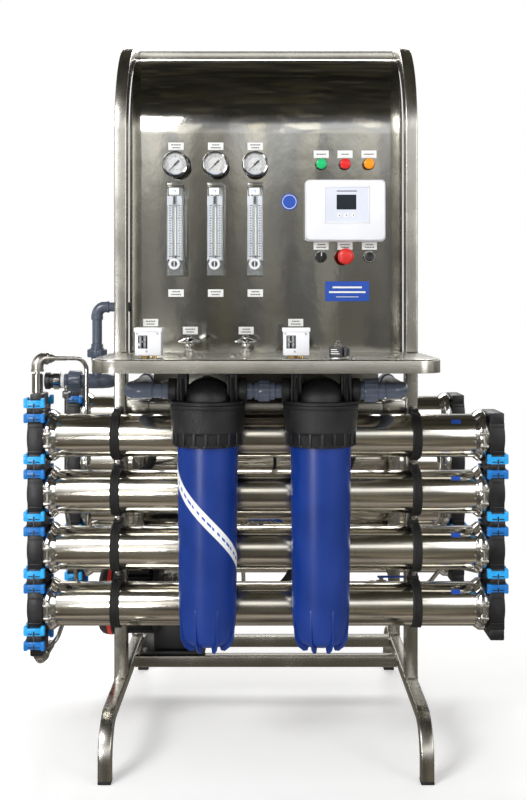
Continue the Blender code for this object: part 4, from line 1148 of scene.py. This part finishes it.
def add_controller():
    low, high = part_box("controller_case")
    centre = (low + high) / 2
    outline = rounded_rectangle(high.x - low.x, high.z - low.z, 0.011, 6)
    depth = high.y - low.y
    place = Matrix.Translation((centre.x, high.y, centre.z)) @ TO_FRONT
    case = Shape().prism(outline, 0, 0.016, place, 0.0012, 2)
    inner = rounded_rectangle(high.x - low.x - 0.003, high.z - low.z - 0.003, 0.010, 6)
    case.prism(inner, 0.0165, depth - 0.0004, place, 0.0045, 3)
    case.finish("controller_shell", WHITE, replaced=["controller_case"])
    seam = Shape().prism(rounded_rectangle(high.x - low.x - 0.005, high.z - low.z - 0.005, 0.009, 6), 0.0155,
                         0.0170, place)
    seam.finish("controller_seam", INK)
    x, z, face = centre.x + 0.0025, centre.z + 0.0135, low.y
    frame_place = Matrix.Translation((x, face, z)) @ TO_FRONT
    rim = Shape()
    for width, height, dx, dz in ((0.113, 0.0035, 0, 0.0445), (0.113, 0.0035, 0, -0.0445),
                                  (0.0035, 0.0925, 0.0548, 0), (0.0035, 0.0925, -0.0548, 0)):
        rim.block(Vector((x + dx, face - 0.0006, z + dz)), (width, 0.0030, height), 0.0010)
    rim.finish("controller_window_rim", WHITE)
    pane = Shape().prism(rounded_rectangle(0.106, 0.086, 0.002, 3), -0.0010, 0.0006, frame_place, 0.0003, 1)
    pane.finish("controller_keypad", KEYPAD)
    screen = Shape().prism(rounded_rectangle(0.049, 0.037, 0.0015, 3), 0.0004, 0.0013,
                           Matrix.Translation((x - 0.001, face, z + 0.006)) @ TO_FRONT, 0.0003, 1)
    screen.finish("controller_screen", SCREEN)
    keys, signs = Shape(), Shape()
    for i, dx in enumerate((-0.0185, -0.001, 0.0165)):
        spot = Vector((x + dx, face - 0.0004, z - 0.0265))
        keys.lathe([(0, 0), (0.0056, 0), (0.0056, 0.0010), (0.0050, 0.0014), (0, 0.0014)], spot, TO_FRONT, 32)
        shape = [(-0.0022, -0.0012), (0.0022, -0.0012), (0, 0.0022)]
        turn = Matrix.Rotation(pi if i == 2 else 0, 4, "Z")
        if i == 1:
            shape = circle(0.0016, 12)
        signs.prism(shape, 0.0013, 0.0017, Matrix.Translation(spot) @ TO_FRONT @ turn)
    keys.finish("controller_keys", LABEL)
    signs.block(Vector((x, face - 0.0009, z + 0.0335)), (0.050, 0.0006, 0.0022))
    signs.finish("controller_key_signs", INK)


def add_pilots():
    rings = Shape()
    for name, x, look in (("green", 0.1395, LAMP_GREEN), ("red", 0.1995, LAMP_RED),
                          ("orange", 0.2595, LAMP_ORANGE)):
        place = at(x, PANEL_FACE, LAMP_Z)
        rings.lathe([(0, 0.0002), (0.0148, 0.0002), (0.0148, 0.004), (0.0138, 0.006), (0, 0.006)], place,
                    TO_FRONT, 48)
        lamp = Shape().lathe([(0, 0.005), (0.0132, 0.005), (0.0134, 0.0125), (0.0122, 0.0145),
                              (0.0080, 0.0160), (0, 0.0168)], place, TO_FRONT, 48)
        for radius in (0.0045, 0.0080, 0.0108):
            lamp.ring(radius, radius + 0.0008, 0.0140, 0.0160 + (0.0108 - radius) * 0.1, place, TO_FRONT, 40)
        lamp.finish(f"pilot_lamp_{name}", look)
    rings.finish("pilot_rings", BLACK)


def add_switches():
    collars = Shape()
    selector_at, stop_at, reset_at = (at(x, PANEL_FACE, SWITCH_Z) for x in SWITCH_X)
    for place, size in ((selector_at, 0.0150), (stop_at, 0.0160), (reset_at, 0.0150)):
        collars.lathe([(size - 0.0035, 0.0001), (size, 0.0001), (size, 0.0035), (size - 0.0012, 0.0052),
                       (size - 0.0035, 0.0052)], place, TO_FRONT, 48)
    collars.finish("switch_collars", CHROME)
    red = Shape().lathe([
        (0, 0.0067), (0.0080, 0.0067), (0.0080, 0.0200), (0.0180, 0.0216), (0.0200, 0.0240), (0.0205, 0.0270),
        (0.0202, 0.0305), (0.0190, 0.0335), (0.0165, 0.0358), (0.0120, 0.0374), (0.0060, 0.0382),
        (0, 0.0384)], stop_at, TO_FRONT, 64)
    red.finish_moving("stop_button", RED, "estop_head")
    knob = Shape().lathe([(0, 0.0003), (0.0108, 0.0003), (0.0108, 0.0050), (0.0134, 0.0058), (0.0134, 0.0105),
                          (0.0122, 0.0122), (0, 0.0122)], selector_at, TO_FRONT, 48)
    turn = Matrix.Translation(selector_at) @ TO_FRONT
    knob.box((-0.0040, -0.0124, 0.0110), (0.0040, 0.0124, 0.0238), 0.0016, turn, 3)
    knob.finish_moving("selector_grip", BLACK, "selector_knob")
    line = Shape().box((-0.0009, 0.0010, 0.0236), (0.0009, 0.0112, 0.02405), 0.0002, turn, 1)
    line.finish("selector_line", LABEL, "selector_knob")
    button = Shape().lathe([(0, 0.0047), (0.0108, 0.0047), (0.0110, 0.0140), (0.0102, 0.0155),
                            (0.0088, 0.0162), (0.0070, 0.0156), (0, 0.0150)], reset_at, TO_FRONT, 48)
    button.finish_moving("reset_cap", BLACK, "reset_button")


def scallop(angle, radius):
    """Six shallow hollows round the rim of a valve's hand wheel."""
    return radius * (1 - 0.05 * (1 + cos(6 * angle)) / 2) if radius > 0.02 else radius


def add_shelf_items():
    for side in ("left", "right"):
        low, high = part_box(f"pressure_switch_{side}")
        case = Shape().box((low.x + 0.002, low.y + 0.002, low.z + 0.0057),
                           (high.x - 0.002, high.y - 0.002, 1.009), 0.0022)
        case.box((low.x, low.y, 1.0085), (high.x, high.y, high.z), 0.0016)
        case.finish(f"pressure_switch_case_{side}", WHITE, replaced=[f"pressure_switch_{side}"])
        face = low.y + 0.002
        window = Shape().box((low.x + 0.009, face - 0.0004, 0.972),
                             (low.x + 0.030, face + 0.002, 1.001), 0.0003)
        window.finish(f"pressure_switch_window_{side}", SCREEN)
        scale = Shape()
        for i in range(9):
            z = 0.975 + i * 0.0028
            for x in (low.x + 0.0115, low.x + 0.0215):
                scale.box((x, face - 0.0007, z), (x + 0.0050, face - 0.0003, z + 0.0009))
        scale.prism([(-0.0016, -0.0012), (0.0016, 0), (-0.0016, 0.0012)], 0, 0.0006,
                    Matrix.Translation((low.x + 0.019, face - 0.0003, 0.987)) @ TO_FRONT)
        scale.finish(f"pressure_switch_scale_{side}", LABEL)
        screws = Shape()
        for dx, z in ((0.0275, 0.9655), (0.052, 1.0045), (0.007, 1.0045)):
            screws.lathe([(0, 0), (0.0022, 0), (0.0018, 0.0011), (0, 0.0013)],
                         Vector((low.x + dx, face, z)), TO_FRONT, 16)
        screws.finish(f"pressure_switch_screws_{side}", SATIN)
        brass = Shape()
        brass.lathe([(0, low.z), (0.0100, low.z), (0.0100, 0.9545), (0.0080, 0.9570), (0, 0.9570)],
                    Vector((low.x + 0.023, (low.y + high.y) / 2 - 0.002, 0)), Z_UP, 6)
        brass.rod(0.0060, low.z, 0.9570, Vector((low.x + 0.043, (low.y + high.y) / 2 - 0.002, 0)), Z_UP, 20)
        brass.finish(f"pressure_switch_fitting_{side}", BRASS)
    for side in ("left", "right"):
        low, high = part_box(f"valve_handle_{side}")
        axis = Vector(((low.x + high.x) / 2, (low.y + high.y) / 2, 0))
        wheel = Shape().lathe([
            (0, low.z), (0.0048, low.z), (0.0048, 0.970), (0.0090, 0.9720), (0.0100, 0.9765),
            (0.0160, 0.9785), (0.0262, 0.9796), (0.0278, 0.9806), (0.0280, 0.9818), (0.0268, 0.9828),
            (0.0200, 0.9850), (0.0140, 0.9885), (0.0100, 0.9892), (0.0086, 0.9896), (0.0086, 0.9925),
            (0.0060, 0.9955), (0, 0.9959)], axis, Z_UP, 72, scallop)
        wheel.finish_moving(f"valve_wheel_{side}", CHROME, f"valve_handle_{side}")
        gland = Shape().lathe([(0.0056, low.z), (0.0125, low.z), (0.0125, low.z + 0.006),
                               (0.0105, low.z + 0.0085), (0.0105, low.z + 0.013), (0.0056, low.z + 0.014)],
                              axis, Z_UP, 24)
        gland.finish(f"valve_gland_{side}", SATIN)
    turn = Matrix.Rotation(radians(-22), 4, "Z")
    coil_at = at(0.159, -0.290, 0)
    coil = Shape().block(coil_at + Vector((0, 0, 0.9645)), (0.031, 0.034, 0.0240), 0.002, turn)
    coil.block(coil_at + Vector((0.016, -0.006, 0.9645)), (0.014, 0.018, 0.018), 0.0015, turn)
    coil.finish("solenoid_coil", BLACK)
    nut = Shape().lathe([(0, 0.976), (0.0060, 0.976), (0.0060, 0.984), (0.0045, 0.986), (0.0045, 0.990),
                         (0, 0.990)], coil_at, Z_UP, 24)
    nut.rod(0.0085, 0.9768, 0.9805, coil_at, Z_UP, 6)
    nut.box((-0.014, -0.014, 0.9505), (0.014, 0.014, 0.9535), 0.001, Matrix.Translation(coil_at) @ turn)
    nut.finish("solenoid_nut", CHROME)
    words = Shape()
    for row in range(3):
        z = 0.9605 + row * 0.0045
        words.box((-0.011, -0.0178, z), (0.009 - row * 0.003, -0.0168, z + 0.0017), 0,
                  Matrix.Translation(coil_at) @ turn)
    words.finish("solenoid_marks", LABEL)
    screws = Shape()
    for x, depth in ((-0.150, -0.236), (0.044, -0.246), (0.128, -0.300), (0.192, -0.300)):
        screws.bolt(at(x, depth, 0.950), 0.0045, 0.004)
    screws.finish("shelf_screws", SATIN)


# ---- pump --------------------------------------------------------------------------------
def add_pump():
    depth, z = 0.255, 0.277
    centre = at(0, depth, z)
    motor = Shape().lathe([
        (0, -0.446), (0.066, -0.446), (0.082, -0.442), (0.090, -0.434), (0.093, -0.425), (0.093, -0.404),
        (0.080, -0.400), (0.080, -0.302), (0.093, -0.298), (0.093, -0.284), (0.074, -0.276), (0, -0.276)],
        centre, TO_RIGHT, 64)
    for count, low, high, bevel in ((36, (0.078, -0.0012, -0.402), (0.0905, 0.0012, -0.300), 0.0004),
                                    (24, (0.022, -0.0016, -0.4475), (0.062, 0.0016, -0.4440), 0.0005)):
        for turn in around(Matrix.Translation(centre) @ TO_RIGHT, count):
            motor.box(low, high, bevel, turn, 1)  # cooling ribs, then the bars of the fan cover
    motor.block(at(-0.355, depth, z + 0.1005), (0.088, 0.098, 0.046), 0.005)
    motor.block(at(-0.355, depth, z + 0.1255), (0.092, 0.102, 0.008), 0.003)
    motor.block(at(-0.245, depth, 0.188), (0.105, 0.104, 0.066), 0.004)
    motor.block(at(-0.2475, depth + 0.027, 0.1495), (0.172, 0.184, 0.0075), 0.001)
    motor.finish("pump_motor", MOTOR, replaced=["pump"])
    band = Shape().lathe([(0.0925, -0.420), (0.0940, -0.419), (0.0940, -0.410), (0.0925, -0.409)], centre,
                         TO_RIGHT, 64)
    band.finish("pump_red_band", RED)
    stages = Shape()
    profile = [(0, -0.277), (0.070, -0.277)]
    for i in range(5):
        x = -0.272 + i * 0.0225
        profile += [(0.0700, x), (0.0715, x + 0.003), (0.0715, x + 0.018), (0.0690, x + 0.0200)]
    profile += [(0.079, -0.156), (0.079, -0.141), (0.070, -0.1402), (0, -0.1402)]
    stages.lathe(profile, centre, TO_RIGHT, 64)
    for i in range(4):
        angle = pi / 4 + i * pi / 2
        rod = centre + Vector((0, 0.0745 * cos(angle), 0.0745 * sin(angle)))
        stages.sweep([rod + Vector((-0.282, 0, 0)), rod + Vector((-0.1402, 0, 0))], circle(0.0035, 12))
    stages.lathe([(0, 0.060), (0.020, 0.060), (0.020, 0.098), (0.024, 0.100), (0.024, 0.116), (0, 0.116)],
                 at(-0.200, depth, z), Z_UP, 32)
    stages.finish("pump_stages", BRUSHED)
    plate = Shape().box(at(-0.386, depth - 0.0525, z + 0.088), at(-0.330, depth - 0.0500, z + 0.112), 0.0006)
    plate.finish("pump_nameplate", SATIN)
    bolts = Shape()
    for x in (-0.320, -0.175):
        for dy in (-0.055, 0.110):
            bolts.bolt(at(x, depth + dy, 0.1530), 0.0065, 0.006)
    for dx in (-0.036, 0.036):
        for dy in (-0.041, 0.041):
            bolts.bolt(at(-0.355 + dx, depth + dy, z + 0.1290), 0.0035, 0.0035)
    bolts.finish("pump_bolts", SATIN)
    riser = Shape().pipe([at(-0.200, depth, z + 0.110), at(-0.200, depth, 0.560), at(-0.401, 0.300, 0.600),
                          at(-0.401, 0.300, 0.800), at(-0.401, 0.339, 0.876)], [0.030, 0.040, 0.03], 0.0160,
                         [(0, 0.020, 0.0195), (0.060, 0.085, 0.0225), (0.150, 0.165, 0.019)], 28)
    riser.finish("pump_suction_pipe", GREY_PVC)


add_stand()
add_panel()
add_shelf()
add_housings()
add_manifolds()
for filter_side in ("left", "right"):
    add_filter(filter_side)
add_pipes()
add_fine_tubes()
add_under_shelf()
add_panel_back()
add_labels()
for number in (1, 2, 3):
    add_gauge(number)
    add_flow_meter(number)
add_controller()
add_pilots()
add_switches()
add_shelf_items()
add_pump()


# ---- stage, light and camera -------------------------------------------------------------
def add_floor():
    """A pale floor that turns into the white backdrop a few metres from the unit."""
    look = surface("floor_pale", (0.90, 0.90, 0.90), 0.75, grain=40, bump=0.05, tone=0.01)
    tree = look.node_tree
    shader = tree.nodes["Principled BSDF"]
    shader.inputs["Emission Color"].default_value = (1, 1, 1, 1)
    shader.inputs["Emission Strength"].default_value = 0.30
    place = node(tree, "TexCoord", {}).outputs["Object"]
    apart = node(tree, "VectorMath", {0: place}, operation="LENGTH")
    fade = node(tree, "MapRange", {"Value": apart.outputs["Value"], "From Min": 0.75, "From Max": 2.6},
                interpolation_type="SMOOTHERSTEP")
    white = node(tree, "Emission", {"Color": (1, 1, 1, 1), "Strength": 1.0})
    mixed = node(tree, "MixShader", {"Fac": fade.outputs["Result"], 1: shader.outputs[0],
                                     2: white.outputs[0]})
    tree.links.new(mixed.outputs[0], tree.nodes["Material Output"].inputs["Surface"])
    made = bmesh.new()
    bmesh.ops.create_grid(made, x_segments=1, y_segments=1, size=60)
    mesh = bpy.data.meshes.new("floor")
    made.to_mesh(mesh)
    made.free()
    mesh.materials.append(look)
    floor = bpy.data.objects.new("floor", mesh)
    floor.visible_glossy = False
    bpy.context.scene.collection.objects.link(floor)


def add_light(name, place, target, size, power, colour=(1, 1, 1)):
    light = bpy.data.lights.new(name, "AREA")
    light.shape = "RECTANGLE"
    light.size, light.size_y = size
    light.energy = power
    light.color = colour
    made = bpy.data.objects.new(name, light)
    made.location = place
    made.rotation_euler = (Vector(target) - Vector(place)).to_track_quat("-Z", "Y").to_euler()
    bpy.context.scene.collection.objects.link(made)


def add_world():
    """A pale backdrop, and a dim room with a bright band above eye height for the steel to reflect."""
    world = bpy.data.worlds.new("studio")
    bpy.context.scene.world = world
    world.use_nodes = True
    tree = world.node_tree
    tree.nodes.clear()
    place = node(tree, "TexCoord", {}).outputs["Generated"]
    stretch = node(tree, "Mapping", {"Vector": place, "Scale": (1, 1, 0.6)}).outputs["Vector"]
    patches = node(tree, "TexNoise", {"Vector": stretch, "Scale": 2.6, "Detail": 3,
                                      "Distortion": 0.8}).outputs["Fac"]
    split = node(tree, "SeparateXYZ", {0: place}).outputs["Z"]
    height = node(tree, "Math", {0: split, 1: 0.5, 2: 0.475}, operation="MULTIPLY_ADD").outputs[0]
    bent = node(tree, "Math", {0: patches, 1: 0.05, 2: height}, operation="MULTIPLY_ADD").outputs[0]
    by_height = ramp(tree, bent, (
        (0.00, (0.10, 0.09, 0.075)), (0.10, (0.55, 0.50, 0.45)), (0.15, (0.16, 0.14, 0.115)),
        (0.30, (0.22, 0.20, 0.165)), (0.40, (0.16, 0.15, 0.115)), (0.48, (0.25, 0.24, 0.21)),
        (0.515, (0.31, 0.31, 0.30)), (0.56, (0.42, 0.41, 0.38)), (0.60, (1.60, 1.60, 1.56)),
        (0.675, (1.55, 1.55, 1.55)), (0.71, (0.42, 0.41, 0.42)), (0.78, (0.13, 0.12, 0.095)),
        (0.90, (0.060, 0.056, 0.040)), (1.00, (0.05, 0.046, 0.034))))
    squeeze = node(tree, "Mapping", {"Vector": place, "Scale": (1.7, 1.7, 0.7)}).outputs["Vector"]
    things = node(tree, "TexVoronoi", {"Vector": squeeze, "Scale": 8.0})    # doors and shelving of a room
    pick = node(tree, "SeparateColor", {0: things.outputs["Color"]}).outputs[0]
    tints = ramp(tree, pick, (
        (0.0, (0.52, 0.53, 0.58)), (0.30, (1.05, 1.02, 0.98)), (0.52, (0.70, 0.72, 0.78)),
        (0.70, (1.25, 1.18, 0.98)), (0.82, (0.85, 0.85, 0.85)), (0.93, (1.55, 1.52, 1.45))), "CONSTANT")
    tinted = node(tree, "Mix", {0: 0.85, 6: by_height, 7: tints}, data_type="RGBA", blend_type="MULTIPLY")
    uneven = node(tree, "MapRange", {"Value": patches, "From Min": 0.35, "From Max": 0.65,
                                     "To Min": 0.45, "To Max": 1.45}).outputs["Result"]
    room = node(tree, "Background", {"Color": tinted.outputs[2], "Strength": uneven}).outputs[0]
    pale = node(tree, "Background", {"Color": (1, 1, 1, 1), "Strength": 1.0}).outputs[0]
    soft = node(tree, "Background", {"Color": (1, 0.99, 0.97, 1), "Strength": 0.42}).outputs[0]
    rays = node(tree, "LightPath", {})
    shine = node(tree, "MixShader", {"Fac": rays.outputs["Is Glossy Ray"], 1: soft, 2: room}).outputs[0]
    seen = node(tree, "MixShader", {"Fac": rays.outputs["Is Camera Ray"], 1: shine, 2: pale}).outputs[0]
    node(tree, "OutputWorld", {"Surface": seen})


CAMERA_DISTANCE, CAMERA_HEIGHT = 2.715, 1.066
camera_data = bpy.data.cameras.new("camera")
camera_data.lens = 49.5
camera_data.sensor_width = 36
camera_data.shift_x = -0.00375
camera_data.shift_y = -0.1175
camera = bpy.data.objects.new("camera", camera_data)
camera.location = at(0, -CAMERA_DISTANCE, CAMERA_HEIGHT)
camera.rotation_euler = (pi / 2, 0, 0)
bpy.context.scene.collection.objects.link(camera)
bpy.context.scene.camera = camera

add_floor()
add_world()
add_light("key", (-2.2, -3.2, 3.0), (0, 0, 0.8), (1.4, 1.2), 105)
add_light("fill", (2.6, -2.8, 1.8), (0, 0, 0.8), (1.2, 1.8), 22)
add_light("front", (-1.55, -3.0, 0.48), (0, 0, 0.75), (0.6, 0.5), 20)
add_light("rim", (0, 2.6, 2.8), (0, 0, 1.0), (2.4, 1.0), 60)
bpy.context.scene.view_settings.view_transform = "Standard"
